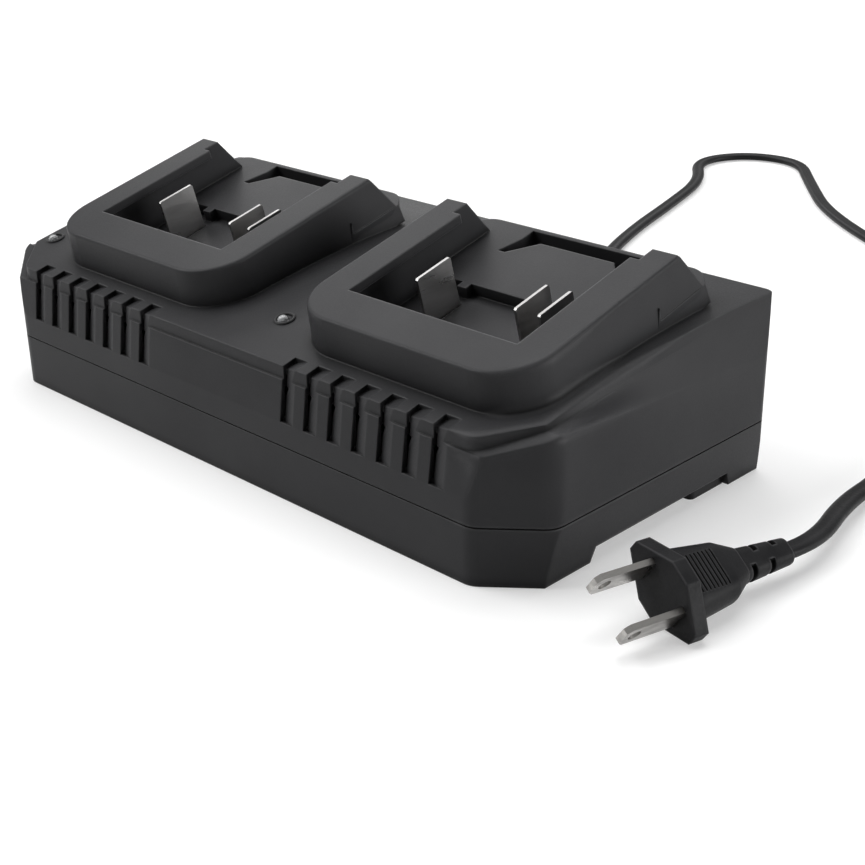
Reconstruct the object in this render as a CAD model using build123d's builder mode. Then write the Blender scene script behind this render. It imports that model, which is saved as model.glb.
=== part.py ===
from build123d import *
import math
import os

os.makedirs("parts", exist_ok=True)

# Twin battery charger. Millimetres, +X along the body, -Y front, +Z up, z = 0 under the feet.

# Body
body_length = 216.0
body_depth = 98.5
seam_height = 15.0
wall = 2.2
corner_run_x = 15.0
corner_run_y = 12.5
corner_blend = 6.0
back_blend = 4.0
front_lean = 2.0
deck_front_height = 36.5
deck_quarter_height = 43.0
deck_middle_height = 47.4
deck_back_height = 49.9
deck_quarter_y = -19.0
deck_middle_y = 9.0
band_step = 0.9
band_lip = 0.1
belt_fall = 0.5
band_front_height = 33.0
band_corner_height = 38.0
band_back_height = 33.4
side_slope_front = 4.4
side_slope_back = 1.0
side_front_step = 1.3
seam_chamfer = 0.4

# Docks
dock_left_inset = 59.65
dock_right_inset = 48.25
dock_tilt = 14.7
rim_reference_y = -2.75
rim_reference_z = 59.1
dock_half_width = 38.8
dock_front = 39.3
dock_corner = 14.5
rim_blend = 1.0
dock_draft = 5.5
lip_inner_half = 28.3
lip_thickness = 2.6
lip_front = 26.0
lip_end = 16.5
channel_half = 31.0
plateau_drop = 11.7
pocket_drop = 15.1
pocket_step = 4.2
floor_thickness = 2.2
post_top = 22.0
post_foot = 28.6
platform_half = 40.1
platform_back_y = 33.75
platform_corner = 8.0
trough_depth = 6.0
trough_back = 33.3
trough_island = 28.5
trough_front = 20.9
trough_half = 19.2
trough_leg_outer = 21.3
trough_leg_inner = 18.9
trough_island_half = 12.4
rib_left = 19.0
rib_width = 3.0
rib_length = 2.4
core_wall = 2.2

# Contacts
blade_thickness = 0.8
blade_front = 13.4
blade_length = 12.4
blade_top = 0.9
power_blade_x = 16.5
signal_blade_x = 22.0
signal_blade_front = 11.4
signal_blade_top = 2.4
slot_clearance = 0.25
terminal_depth = 7.0
terminal_margin = 3.2
tail_width = 4.0
tail_length = 3.2
blade_lead_in = 0.4
lead_radius = 0.9
lead_drop = 4.0
lead_pad_y = -6.0
lead_bend = 1.5
mains_bend = 1.4

# Vents
vent_count = 7
vent_pitch = 8.75
vent_width = 4.9
vent_depth = 1.4
vent_bottom = 22.0
vent_top_y = -42.8
vent_starts = {"left": 37.45, "right": 32.35}
vent_slit = 0.5
vent_slit_bottom = 23.0
vent_slit_top = 34.0

# Lights
light_y = -32.0
light_right_reach = 49.75
light_left_inset = 8.8
light_ring_radius = 2.35
light_ring_height = 0.35
light_hole_radius = 1.7
light_radius = 1.5
light_flange_radius = 2.0
light_flange_thickness = 1.0
light_dome_base = 0.2
light_leg_gap = 1.27
light_leg_radius = 0.6
light_pad_left_x = -78.0
light_pad_right_x = 8.0
light_pad_y = -30.0
light_leg_drop = 8.0

# Lower housing
base_inset = 1.8
skirt_height = 4.0
skirt_wall = 2.6
floor_plate = 2.0
notch_front = -21.75
notch_back = 35.25
foot_length = 15.0
foot_width = 10.0
foot_inset = 1.6
lip_height = 2.0
lip_wall = 1.0
lip_clearance = 0.2
boss_side_inset = 9.0
boss_front_inset = 28.25
boss_back_inset = 11.25
boss_radius = 3.8
screw_hole_radius = 1.2
screw_shank_radius = 1.2
screw_clear_radius = 1.7
screw_head_radius = 2.9
screw_head_height = 2.2
screw_length = 14.0

# Circuit board
board_end_gap = 18.0
board_side_gap = 7.25
board_thickness = 1.6
board_standoff = 4.0
board_boss_radius = 3.0
board_screw_inset = 6.0
board_screw_head = 2.4
board_screw_head_height = 1.6
board_screw_length = 5.0
screw_well = 6.0
screw_slot_length = 3.4
screw_slot_width = 0.9
notch_slope = 1.5
foot_front_y = -38.0
foot_back_y = 21.0
foot_blend = 1.5

# Parts on the board
can_groove = 0.6
bulk_x = -42.0
bulk_y = 20.0
bulk_radius = 8.0
bulk_height = 25.0
bridge_x = -64.0
bridge_y = 8.0
bridge_length = 19.0
bridge_depth = 3.6
bridge_height = 11.0
fuse_x = -16.0
fuse_y = 30.0
fuse_length = 20.0
fuse_cap = 5.0
fuse_radius = 2.6
fuse_lift = 4.4
fuse_clearance = 0.2
choke_x = -66.0
choke_y = 27.0
choke_length = 22.0
choke_height = 17.0
choke_bar = 4.4
choke_gap = 0.3
choke_wire = 1.8
mains_sink_x = -12.0
mains_sink_y = 2.0
mains_sink_length = 26.0
output_sink_x = 66.0
output_sink_y = 4.0
output_sink_length = 30.0
sink_plate = 2.0
sink_fin = 1.4
sink_depth = 9.0
sink_height = 22.0
device_width = 10.2
device_depth = 4.5
device_height = 9.0
device_leg = 4.0
tab_depth = 1.3
tab_height = 6.4
leg_pitch = 2.54
leg_width = 0.8
transformer_x = 28.0
transformer_y = 16.0
core_length = 33.0
core_height = 26.0
core_leg = 9.6
core_side = 4.8
bobbin_foot = 1.2
bobbin_gap = 0.6
bobbin_wall = 1.0
bobbin_depth = 24.0
bobbin_rail = 4.0
winding_gap = 2.4
winding_corner = 4.0
output_can_xs = [58.0, 74.0]
output_can_y = 27.0
output_can_radius = 5.0
output_can_height = 20.0
chip_y = -24.0
chip_length = 10.3
chip_depth = 7.5
chip_height = 2.4

# Gland
gland_x = 1.0
gland_neck_radius = 5.0
gland_flange_radius = 6.8
gland_clearance = 0.2
gland_ring_gap = 1.2
gland_ring_depth = 0.8
gland_rings = 5
mains_lead_gap = 1.7
mains_lead_radius = 1.1
mains_lead_reach = 6.0
gland_inner_flange = 2.0
gland_outer_flange = 2.0
gland_root_radius = 4.8
gland_tip_radius = 3.9
gland_length = 30.0

# Cord
cord_width = 5.2
cord_thickness = 2.8
coil_x = 118.0
coil_y = 182.0
coil_inner_radius = 24.8
coil_outer_radius = 35.6
coil_height = 9.2
coil_entry_x = 5.2
coil_entry_y = 29.5
coil_exit_x = 30.0
coil_exit_y = 3.0
plug_cord_reach = 11.0
floor_lift = 0.1
guide_lift = 50.0

# Plug
plug_face_x = 135.3
plug_face_y = -33.5
plug_turn = 11.0
plug_pitch = 3.5
plug_half_width = 12.5
plug_half_height = 8.0
plug_end_half = 1.5
plug_flat_half = 3.0
plug_flange_thickness = 4.0
plug_grip_length = 13.0
plug_grip_width = 18.0
plug_grip_height = 10.4
plug_grip_corner = 4.9
plug_waist_width = 14.5
plug_waist_height = 9.4
plug_waist_corner = 4.0
plug_shoulder_length = 5.0
plug_tail_width = 8.8
plug_tail_height = 7.4
plug_relief_length = 16.0
plug_relief_width = 8.4
plug_relief_height = 6.4
plug_tip_width = 6.6
plug_tip_height = 5.2
plug_corner = 2.4
plug_slot_count = 4
plug_slot_width = 1.6
plug_slot_pitch = 3.1
plug_slot_start = 1.8
plug_slot_core = 1.5
plug_rib_count = 8
plug_rib_start = 2.0
plug_rib_pitch = 1.2
plug_rib_width = 0.5
plug_rib_depth = 0.35
plug_rib_half = 4.6
plug_blade_bevel = 1.2
plug_blade_gap = 12.7
plug_blade_width = 6.35
plug_blade_thickness = 1.5
plug_blade_length = 15.9
plug_blade_root = 5.0
plug_blade_hole = 1.6
plug_hole_back = 3.2

half_length = body_length / 2
half_depth = body_depth / 2
tilt = math.radians(dock_tilt)
dock_xs = {"left": -half_length + dock_left_inset, "right": half_length - dock_right_inset}
dock_sides = [dock_xs["left"], dock_xs["right"]]
platform_bottom = deck_middle_height - wall + 0.6
platform_front_y = 10.0
slot_half = blade_thickness / 2 + slot_clearance
terminal_back = -signal_blade_front + blade_length + terminal_margin / 2
blade_places = [
    (-power_blade_x, blade_front),
    (power_blade_x, blade_front),
    (signal_blade_x, signal_blade_front),
]
lean_run = front_lean / (deck_front_height - vent_bottom)
fuse_z = skirt_height + floor_plate + board_standoff + board_thickness + fuse_lift
deck_front_slope = (deck_quarter_height - deck_front_height) / (deck_quarter_y + half_depth - front_lean)
deck_front_angle = math.atan(deck_front_slope)
vent_deck_z = deck_front_height - front_lean * deck_front_slope
light_deck_z = deck_front_height + (light_y + half_depth - front_lean) * deck_front_slope
light_xs = {"left": -half_length + light_left_inset, "right": dock_xs["right"] - light_right_reach}
boss_x = half_length - boss_side_inset
boss_front_y = -half_depth + boss_front_inset
boss_back_y = half_depth - boss_back_inset
board_length = body_length - 2 * board_end_gap
board_depth = body_depth - 2 * board_side_gap
board_screw_x = board_length / 2 - board_screw_inset
board_screw_y = board_depth / 2 - board_screw_inset


def dock_plane(dock_x, drop):
    """Plane parallel to a dock's rim, at a drop below it; local x along the body, local y up the slope."""
    y = rim_reference_y + drop * math.sin(tilt)
    z = rim_reference_z - drop * math.cos(tilt)
    return Plane(origin=(dock_x, y, z), x_dir=(1, 0, 0), z_dir=(0, -math.sin(tilt), math.cos(tilt)))


def dock_side_plane(dock_x):
    """Plane through a dock's middle; local x up the slope, local y square to the rim."""
    return Plane(
        origin=(dock_x, rim_reference_y, rim_reference_z),
        x_dir=(0, math.cos(tilt), math.sin(tilt)),
        z_dir=(1, 0, 0),
    )


def light_plane(light_x, height):
    """Plane square to the deck at a light."""
    y = light_y - height * math.sin(deck_front_angle)
    z = light_deck_z + height * math.cos(deck_front_angle)
    normal = (0, -math.sin(deck_front_angle), math.cos(deck_front_angle))
    return Plane(origin=(light_x, y, z), x_dir=(1, 0, 0), z_dir=normal)


def dock_point(dock_x, u, v, drop):
    """World point of dock coordinates: across, up the slope, below the rim."""
    y = rim_reference_y + v * math.cos(tilt) + drop * math.sin(tilt)
    z = rim_reference_z + v * math.sin(tilt) - drop * math.cos(tilt)
    return (dock_x + u, y, z)


def deck_points(inset):
    """Deck line in the YZ plane, lowered by an inset."""
    return [
        (-half_depth + front_lean, deck_front_height - inset),
        (deck_quarter_y, deck_quarter_height - inset),
        (deck_middle_y, deck_middle_height - inset),
        (half_depth, deck_back_height - inset),
    ]


def deck_height(y):
    """Height of the deck above a place between front and back, from its line's points."""
    points = deck_points(0)
    for (near_y, near_z), (far_y, far_z) in zip(points, points[1:]):
        if y <= far_y:
            return near_z + (far_z - near_z) * (y - near_y) / (far_y - near_y)
    return points[-1][1]


def plan_points(inset):
    """Outline of the body seen from above, pulled in by an inset."""
    x = half_length - inset
    y = half_depth - inset
    cut = math.hypot(corner_run_x, corner_run_y)
    front_x = half_length - corner_run_x - inset * (cut - corner_run_x) / corner_run_y
    side_y = -half_depth + corner_run_y + inset * (cut - corner_run_y) / corner_run_x
    return [(-front_x, -y), (front_x, -y), (x, side_y), (x, y), (-x, y), (-x, side_y)]


def shoulder_cut(inset):
    """What the belt line takes off the body: the front band and both sloped sides, moved in by an inset."""
    side_y = -half_depth + corner_run_y + side_front_step
    with BuildPart() as shoulder:
        with BuildSketch(Plane.YZ):
            with BuildLine():
                Polyline(
                    (-half_depth - 1, band_front_height - inset),
                    (-half_depth + front_lean, band_front_height - inset),
                    (side_y, band_corner_height - inset),
                    (side_y, deck_back_height),
                    (-half_depth - 1, deck_back_height),
                    close=True,
                )
            make_face()
        extrude(amount=half_length + 1, both=True)
        with BuildSketch(Plane.XY.offset(seam_height)) as band_inner:
            with BuildLine():
                inner_front = -half_depth + front_lean + band_lip + inset
                inner_x = half_length - corner_run_x - band_step - inset
                inner_side = half_length - side_slope_front - inset
                Polyline(
                    (-inner_x, inner_front),
                    (inner_x, inner_front),
                    (inner_side, side_y + inset),
                    (inner_side, half_depth),
                    (-inner_side, half_depth),
                    (-inner_side, side_y + inset),
                    close=True,
                )
            make_face()
            fillet(band_inner.vertices().group_by(Axis.Y)[0], corner_blend)
        extrude(amount=deck_back_height, mode=Mode.SUBTRACT)
        for side in (-1, 1):
            deck_x = side * (half_length - side_slope_front - inset)
            back_x = side * (half_length - side_slope_back - inset)
            belt_x = side * (half_length - inset)
            out_x = side * (half_length + 2)
            with BuildSketch(Plane.XZ.offset(-side_y)):
                with BuildLine():
                    Polyline(
                        (deck_x, band_corner_height - inset),
                        (belt_x, band_corner_height - belt_fall - inset),
                        (out_x, band_corner_height - inset),
                        (out_x, deck_back_height + 5),
                        (deck_x, deck_back_height + 5),
                        close=True,
                    )
                make_face()
            with BuildSketch(Plane.XZ.offset(-half_depth - 1)):
                with BuildLine():
                    Polyline(
                        (back_x, deck_back_height - inset),
                        (belt_x, band_back_height - inset),
                        (out_x, band_back_height - inset),
                        (out_x, deck_back_height + 5),
                        (back_x, deck_back_height + 5),
                        close=True,
                    )
                make_face()
            loft(ruled=True)
    return shoulder.part


outer_shoulder = shoulder_cut(0)
inner_shoulder = shoulder_cut(wall)

# Docks: drafted blocks with a softened rim, standing square to the tilted rim plane
dock_blocks = []
for dock_x in dock_sides:
    with BuildPart() as dock_block:
        with BuildSketch(dock_plane(dock_x, 0)) as block_plan:
            with BuildLine():
                Polyline(
                    (-dock_half_width, -dock_front),
                    (dock_half_width, -dock_front),
                    (dock_half_width, post_foot),
                    (-dock_half_width, post_foot),
                    close=True,
                )
            make_face()
            fillet(block_plan.vertices().group_by(Axis.Y)[0], dock_corner)
        extrude(amount=-(pocket_drop + floor_thickness), taper=-dock_draft)
        rim_normal = Axis((dock_x, 0, 0), (0, -math.sin(tilt), math.cos(tilt)))
        fillet(dock_block.faces().sort_by(rim_normal)[-1].edges(), rim_blend)
    dock_blocks.append(dock_block.part)

# Upper housing: hollow body with a convex deck, front band and sloped sides
with BuildPart() as upper_cavity:
    with BuildSketch(Plane.XY.offset(seam_height)) as cavity_plan:
        with BuildLine():
            Polyline(*plan_points(wall), close=True)
        make_face()
        fillet(cavity_plan.vertices(), corner_blend - wall)
    extrude(amount=deck_back_height - seam_height)
    with BuildSketch(Plane.YZ) as cavity_side:
        with BuildLine():
            top = Spline(*deck_points(wall))
            Polyline(top @ 1, (half_depth, seam_height), (-half_depth, seam_height), top @ 0)
        make_face()
    extrude(amount=half_length, both=True, mode=Mode.INTERSECT)
    add(inner_shoulder, mode=Mode.SUBTRACT)

with BuildPart() as upper_housing:
    with BuildSketch(Plane.XY.offset(seam_height)) as upper_plan:
        with BuildLine():
            Polyline(*plan_points(0), close=True)
        make_face()
        fillet(upper_plan.vertices().group_by(Axis.Y)[-1], back_blend)
        fillet(upper_plan.vertices().group_by(Axis.Y)[0], corner_blend)
        fillet(upper_plan.vertices().group_by(Axis.X)[0].sort_by(Axis.Y)[0], corner_blend)
        fillet(upper_plan.vertices().group_by(Axis.X)[-1].sort_by(Axis.Y)[0], corner_blend)
    extrude(amount=deck_back_height)
    with BuildSketch(Plane.YZ) as upper_side:
        with BuildLine():
            top = Spline(*deck_points(0))
            Polyline(
                top @ 1,
                (half_depth, seam_height),
                (-half_depth, seam_height),
                (-half_depth, vent_bottom),
                top @ 0,
            )
        make_face()
    extrude(amount=half_length, both=True, mode=Mode.INTERSECT)
    chamfer(upper_housing.edges().group_by(Axis.Z)[0], seam_chamfer)
    add(outer_shoulder, mode=Mode.SUBTRACT)
    add(upper_cavity.part, mode=Mode.SUBTRACT)

    # Docks: platforms behind the blocks, cut level with the plateau
    for dock_x in dock_sides:
        with BuildSketch(Plane.XY.offset(platform_bottom)) as platform_plan:
            with BuildLine():
                Polyline(
                    (dock_x - platform_half, platform_front_y),
                    (dock_x + platform_half, platform_front_y),
                    (dock_x + platform_half, platform_back_y),
                    (dock_x - platform_half, platform_back_y),
                    close=True,
                )
            make_face()
            fillet(platform_plan.vertices().group_by(Axis.Y)[-1], platform_corner)
        extrude(amount=rim_reference_z - platform_bottom)
        with BuildSketch(dock_plane(dock_x, plateau_drop)):
            with BuildLine():
                plateau_front = (platform_front_y - rim_reference_y) / math.cos(tilt) - wall
                Polyline(
                    (-platform_half - 1, plateau_front),
                    (platform_half + 1, plateau_front),
                    (platform_half + 1, body_depth / 2),
                    (-platform_half - 1, body_depth / 2),
                    close=True,
                )
            make_face()
        extrude(amount=plateau_drop * 2, mode=Mode.SUBTRACT)
    for dock_block in dock_blocks:
        add(dock_block)

    # Docks: slanted back of the posts, undercut channel, opening between the lips, pocket before the plateau
    for dock_x in dock_sides:
        side = dock_side_plane(dock_x)
        with BuildSketch(side):
            with BuildLine():
                Polyline(
                    (post_top, 0),
                    (post_foot, -plateau_drop),
                    (post_foot + body_depth / 4, -plateau_drop),
                    (post_foot + body_depth / 4, plateau_drop),
                    (post_top, plateau_drop),
                    close=True,
                )
            make_face()
        extrude(amount=platform_half + 1, both=True, mode=Mode.SUBTRACT)
        with BuildSketch(side):
            with BuildLine():
                Polyline(
                    (-lip_front, -lip_thickness),
                    (lip_end, -lip_thickness),
                    (lip_end, 1),
                    (post_foot, 1),
                    (post_foot, -plateau_drop),
                    (pocket_step, -plateau_drop),
                    (pocket_step, -pocket_drop),
                    (-lip_front, -pocket_drop),
                    close=True,
                )
            make_face()
        extrude(amount=channel_half, both=True, mode=Mode.SUBTRACT)
        with BuildSketch(side):
            with BuildLine():
                Polyline(
                    (-lip_front, 1),
                    (lip_end + 1, 1),
                    (lip_end + 1, -lip_thickness - 1),
                    (-lip_front, -lip_thickness - 1),
                    close=True,
                )
            make_face()
        extrude(amount=lip_inner_half, both=True, mode=Mode.SUBTRACT)

        # Latch trough with a central island
        with BuildSketch(dock_plane(dock_x, plateau_drop)):
            with BuildLine():
                Polyline(
                    (-trough_half, trough_back),
                    (trough_half, trough_back),
                    (trough_half, trough_island),
                    (trough_leg_outer, trough_front),
                    (trough_leg_inner, trough_front),
                    (trough_island_half, trough_island),
                    (-trough_island_half, trough_island),
                    (-trough_leg_inner, trough_front),
                    (-trough_leg_outer, trough_front),
                    (-trough_half, trough_island),
                    close=True,
                )
            make_face()
        extrude(amount=-trough_depth, mode=Mode.SUBTRACT)

        # Small stop rib on the pocket floor
        with BuildSketch(dock_plane(dock_x, pocket_drop)):
            with BuildLine():
                Polyline(
                    (-rib_left, pocket_step),
                    (-rib_left, pocket_step - rib_length),
                    (-rib_left + rib_width, pocket_step - rib_length),
                    (-rib_left + rib_width, pocket_step),
                    close=True,
                )
            make_face()
        extrude(amount=pocket_drop - plateau_drop)

        # Hollow rails and front wall, open to the inside of the body
        with BuildSketch(dock_plane(dock_x, pocket_drop + floor_thickness + core_wall)) as core_plan:
            with BuildLine():
                Polyline(
                    (-dock_half_width + core_wall, -dock_front + core_wall),
                    (dock_half_width - core_wall, -dock_front + core_wall),
                    (dock_half_width - core_wall, lip_end - core_wall),
                    (-dock_half_width + core_wall, lip_end - core_wall),
                    close=True,
                )
            make_face()
            fillet(core_plan.vertices().group_by(Axis.Y)[0], dock_corner - core_wall)
            with BuildLine():
                Polyline(
                    (-channel_half - core_wall, -lip_front - core_wall),
                    (channel_half + core_wall, -lip_front - core_wall),
                    (channel_half + core_wall, lip_end),
                    (-channel_half - core_wall, lip_end),
                    close=True,
                )
            make_face(mode=Mode.SUBTRACT)
        extrude(amount=pocket_drop + floor_thickness + core_wall - lip_thickness, mode=Mode.SUBTRACT)

        # Slots for the contact blades
        for blade_x, blade_start in blade_places:
            with BuildSketch(dock_plane(dock_x, pocket_drop - 1)):
                with BuildLine():
                    Polyline(
                        (blade_x - slot_half, -blade_start - slot_clearance),
                        (blade_x + slot_half, -blade_start - slot_clearance),
                        (blade_x + slot_half, -blade_start + blade_length + slot_clearance),
                        (blade_x - slot_half, -blade_start + blade_length + slot_clearance),
                        close=True,
                    )
                make_face()
            extrude(amount=-floor_thickness - 2, mode=Mode.SUBTRACT)

    # Vents: shingled recesses over the deck edge, each with a slit at its deep end
    for side_name, vent_start in vent_starts.items():
        for number in range(vent_count):
            left = dock_xs[side_name] - vent_start + number * vent_pitch
            with BuildSketch(Plane.XY.offset(vent_bottom)):
                with BuildLine():
                    Polyline(
                        (left, -half_depth + vent_depth),
                        (left + vent_width, -half_depth),
                        (left + vent_width, -half_depth - 2),
                        (left, -half_depth - 2),
                        close=True,
                    )
                make_face()
            extrude(amount=deck_front_height - vent_bottom + 2, dir=(0, lean_run, 1), mode=Mode.SUBTRACT)
            with BuildSketch(Plane.XZ.offset(half_depth)):
                with BuildLine():
                    Polyline(
                        (left, vent_deck_z - vent_depth),
                        (left + vent_width, vent_deck_z),
                        (left + vent_width, vent_deck_z + 3),
                        (left, vent_deck_z + 3),
                        close=True,
                    )
                make_face()
            extrude(amount=half_depth + vent_top_y, dir=(0, 1, deck_front_slope), mode=Mode.SUBTRACT)
            with BuildSketch(Plane.XZ.offset(half_depth)):
                with BuildLine():
                    Polyline(
                        (left, vent_slit_bottom),
                        (left + vent_slit, vent_slit_bottom),
                        (left + vent_slit, vent_slit_top),
                        (left, vent_slit_top),
                        close=True,
                    )
                make_face()
            extrude(amount=-2 * wall - front_lean, mode=Mode.SUBTRACT)

    # Light holes in raised rings
    for light_x in light_xs.values():
        with BuildSketch(light_plane(light_x, -wall)):
            Circle(light_ring_radius)
        extrude(amount=wall + light_ring_height)
        with BuildSketch(light_plane(light_x, -2 * wall)):
            Circle(light_hole_radius)
        extrude(amount=3 * wall, mode=Mode.SUBTRACT)

    # Screw posts under the deck
    for boss_x_side in (-boss_x, boss_x):
        for boss_y in (boss_front_y, boss_back_y):
            with BuildSketch(Plane.XY.offset(seam_height + lip_clearance)):
                with BuildLine():
                    CenterArc((boss_x_side, boss_y), boss_radius, 0, 360)
                make_face()
            extrude(amount=deck_height(boss_y) - wall / 2 - seam_height - lip_clearance)
            with BuildSketch(Plane.XY.offset(seam_height + lip_clearance)):
                with BuildLine():
                    CenterArc((boss_x_side, boss_y), screw_hole_radius, 0, 360)
                make_face()
            extrude(amount=screw_length, mode=Mode.SUBTRACT)

    # Half of the cord's hole in the back wall
    with BuildSketch(Plane.XZ.offset(-half_depth + 2 * wall)):
        with BuildLine():
            CenterArc((gland_x, seam_height), gland_neck_radius, 0, 360)
        make_face()
    extrude(amount=-3 * wall, mode=Mode.SUBTRACT)
upper_housing.part.label = "upper_housing"
export_step(upper_housing.part, "parts/upper_housing.step")

# Lower housing: tray with a skirt, grip notches, foot blocks, bosses and a lip
with BuildPart() as lower_housing:
    with BuildSketch(Plane.XY) as lower_plan:
        with BuildLine():
            Polyline(*plan_points(0), close=True)
        make_face()
        fillet(lower_plan.vertices().group_by(Axis.Y)[-1], back_blend)
        fillet(lower_plan.vertices().group_by(Axis.Y)[0], corner_blend)
        fillet(lower_plan.vertices().group_by(Axis.X)[0].sort_by(Axis.Y)[0], corner_blend)
        fillet(lower_plan.vertices().group_by(Axis.X)[-1].sort_by(Axis.Y)[0], corner_blend)
    extrude(amount=seam_height)
    with BuildSketch(Plane.XZ):
        with BuildLine():
            Polyline(
                (-half_length, seam_height),
                (half_length, seam_height),
                (half_length - base_inset, 0),
                (-half_length + base_inset, 0),
                close=True,
            )
        make_face()
    extrude(amount=half_depth, both=True, mode=Mode.INTERSECT)

    # Room above the floor and hollow below it
    with BuildSketch(Plane.XY.offset(skirt_height + floor_plate)) as tray_plan:
        with BuildLine():
            Polyline(*plan_points(skirt_wall), close=True)
        make_face()
        fillet(tray_plan.vertices(), corner_blend - skirt_wall)
    extrude(amount=seam_height, mode=Mode.SUBTRACT)
    with BuildSketch(Plane.XY) as skirt_plan:
        with BuildLine():
            Polyline(*plan_points(skirt_wall + base_inset), close=True)
        make_face()
        fillet(skirt_plan.vertices(), corner_blend - skirt_wall)
    extrude(amount=skirt_height, mode=Mode.SUBTRACT)

    # Grip notches in both sides
    with BuildSketch(Plane.YZ):
        with BuildLine():
            Polyline(
                (notch_front, 0),
                (notch_front + notch_slope, skirt_height),
                (notch_back - notch_slope, skirt_height),
                (notch_back, 0),
                close=True,
            )
        make_face()
    extrude(amount=half_length, both=True, mode=Mode.SUBTRACT)

    # Foot blocks under the corners
    for foot_side in (-1, 1):
        for foot_y in (foot_front_y, foot_back_y):
            with BuildSketch(Plane.XY) as foot_plan:
                with BuildLine():
                    foot_x = foot_side * (half_length - base_inset - foot_inset)
                    Polyline(
                        (foot_x, foot_y),
                        (foot_x - foot_side * foot_width, foot_y),
                        (foot_x - foot_side * foot_width, foot_y + foot_length),
                        (foot_x, foot_y + foot_length),
                        close=True,
                    )
                make_face()
                fillet(foot_plan.vertices(), foot_blend)
            extrude(amount=skirt_height)

    # Lip inside the seam
    with BuildSketch(Plane.XY.offset(seam_height - lip_height)) as lip_plan:
        with BuildLine():
            Polyline(*plan_points(wall + lip_clearance), close=True)
        make_face()
        fillet(lip_plan.vertices(), corner_blend - skirt_wall)
        with BuildLine():
            Polyline(*plan_points(wall + lip_clearance + lip_wall), close=True)
        make_face(mode=Mode.SUBTRACT)
    extrude(amount=2 * lip_height)

    # Screw bosses, with wells for the heads from below
    for boss_x_side in (-boss_x, boss_x):
        for boss_y in (boss_front_y, boss_back_y):
            with BuildSketch(Plane.XY):
                with BuildLine():
                    CenterArc((boss_x_side, boss_y), boss_radius + 0.6, 0, 360)
                make_face()
            extrude(amount=seam_height + lip_clearance)
            with BuildSketch(Plane.XY):
                with BuildLine():
                    CenterArc((boss_x_side, boss_y), screw_clear_radius, 0, 360)
                make_face()
            extrude(amount=seam_height + 1, mode=Mode.SUBTRACT)
            with BuildSketch(Plane.XY):
                with BuildLine():
                    CenterArc((boss_x_side, boss_y), screw_head_radius + lip_clearance, 0, 360)
                make_face()
            extrude(amount=screw_well, mode=Mode.SUBTRACT)

    # Standoffs for the circuit board
    for peg_x in (-board_screw_x, board_screw_x):
        for peg_y in (-board_screw_y, board_screw_y):
            with BuildSketch(Plane.XY.offset(skirt_height + floor_plate / 2)):
                with BuildLine():
                    CenterArc((peg_x, peg_y), board_boss_radius, 0, 360)
                make_face()
            extrude(amount=floor_plate / 2 + board_standoff)
            with BuildSketch(Plane.XY.offset(skirt_height + floor_plate)):
                with BuildLine():
                    CenterArc((peg_x, peg_y), screw_hole_radius, 0, 360)
                make_face()
            extrude(amount=board_standoff, mode=Mode.SUBTRACT)

    # Half of the cord's hole in the back wall
    with BuildSketch(Plane.XZ.offset(-half_depth + 2 * skirt_wall)):
        with BuildLine():
            CenterArc((gland_x, seam_height), gland_neck_radius, 0, 360)
        make_face()
    extrude(amount=-3 * skirt_wall, mode=Mode.SUBTRACT)
    with BuildSketch(Plane.XY.offset(seam_height - gland_flange_radius)):
        with BuildLine():
            Polyline(
                (gland_x - gland_flange_radius - 1, half_depth - wall - 3),
                (gland_x + gland_flange_radius + 1, half_depth - wall - 3),
                (gland_x + gland_flange_radius + 1, half_depth - wall),
                (gland_x - gland_flange_radius - 1, half_depth - wall),
                close=True,
            )
        make_face()
    extrude(amount=gland_flange_radius + 2 * lip_height, mode=Mode.SUBTRACT)
lower_housing.part.label = "lower_housing"
export_step(lower_housing.part, "parts/lower_housing.step")

# Housing screws, driven up from below
with BuildPart() as housing_screws:
    for boss_x_side in (-boss_x, boss_x):
        for boss_y in (boss_front_y, boss_back_y):
            with BuildSketch(Plane.XY.offset(screw_well - screw_head_height)):
                with BuildLine():
                    CenterArc((boss_x_side, boss_y), screw_head_radius, 0, 360)
                make_face()
            extrude(amount=screw_head_height)
            with BuildSketch(Plane.XY.offset(screw_well)):
                with BuildLine():
                    CenterArc((boss_x_side, boss_y), screw_shank_radius, 0, 360)
                make_face()
            extrude(amount=screw_length)
            with BuildSketch(Plane.XY.offset(screw_well - screw_head_height)):
                with Locations((boss_x_side, boss_y)):
                    Rectangle(screw_slot_length, screw_slot_width)
                    Rectangle(screw_slot_width, screw_slot_length)
            extrude(amount=screw_head_height / 2, mode=Mode.SUBTRACT)
housing_screws.part.label = "housing_screws"
export_step(housing_screws.part, "parts/housing_screws.step")

# Circuit board with holes for its screws
board_bottom = skirt_height + floor_plate + board_standoff
board_top = board_bottom + board_thickness
with BuildPart() as circuit_board:
    with BuildSketch(Plane.XY.offset(board_bottom)) as board_plan:
        Rectangle(board_length, board_depth)
        for peg_x in (-board_screw_x, board_screw_x):
            for peg_y in (-board_screw_y, board_screw_y):
                with BuildLine():
                    CenterArc((peg_x, peg_y), screw_clear_radius, 0, 360)
                make_face(mode=Mode.SUBTRACT)
    extrude(amount=board_thickness)
circuit_board.part.label = "circuit_board"
export_step(circuit_board.part, "parts/circuit_board.step")

with BuildPart() as board_screws:
    for peg_x in (-board_screw_x, board_screw_x):
        for peg_y in (-board_screw_y, board_screw_y):
            with BuildSketch(Plane.XY.offset(board_top)):
                with BuildLine():
                    CenterArc((peg_x, peg_y), board_screw_head, 0, 360)
                make_face()
            extrude(amount=board_screw_head_height)
            with BuildSketch(Plane.XY.offset(board_top)):
                with BuildLine():
                    CenterArc((peg_x, peg_y), screw_shank_radius, 0, 360)
                make_face()
            extrude(amount=-board_screw_length)
board_screws.part.label = "board_screws"
export_step(board_screws.part, "parts/board_screws.step")


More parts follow.
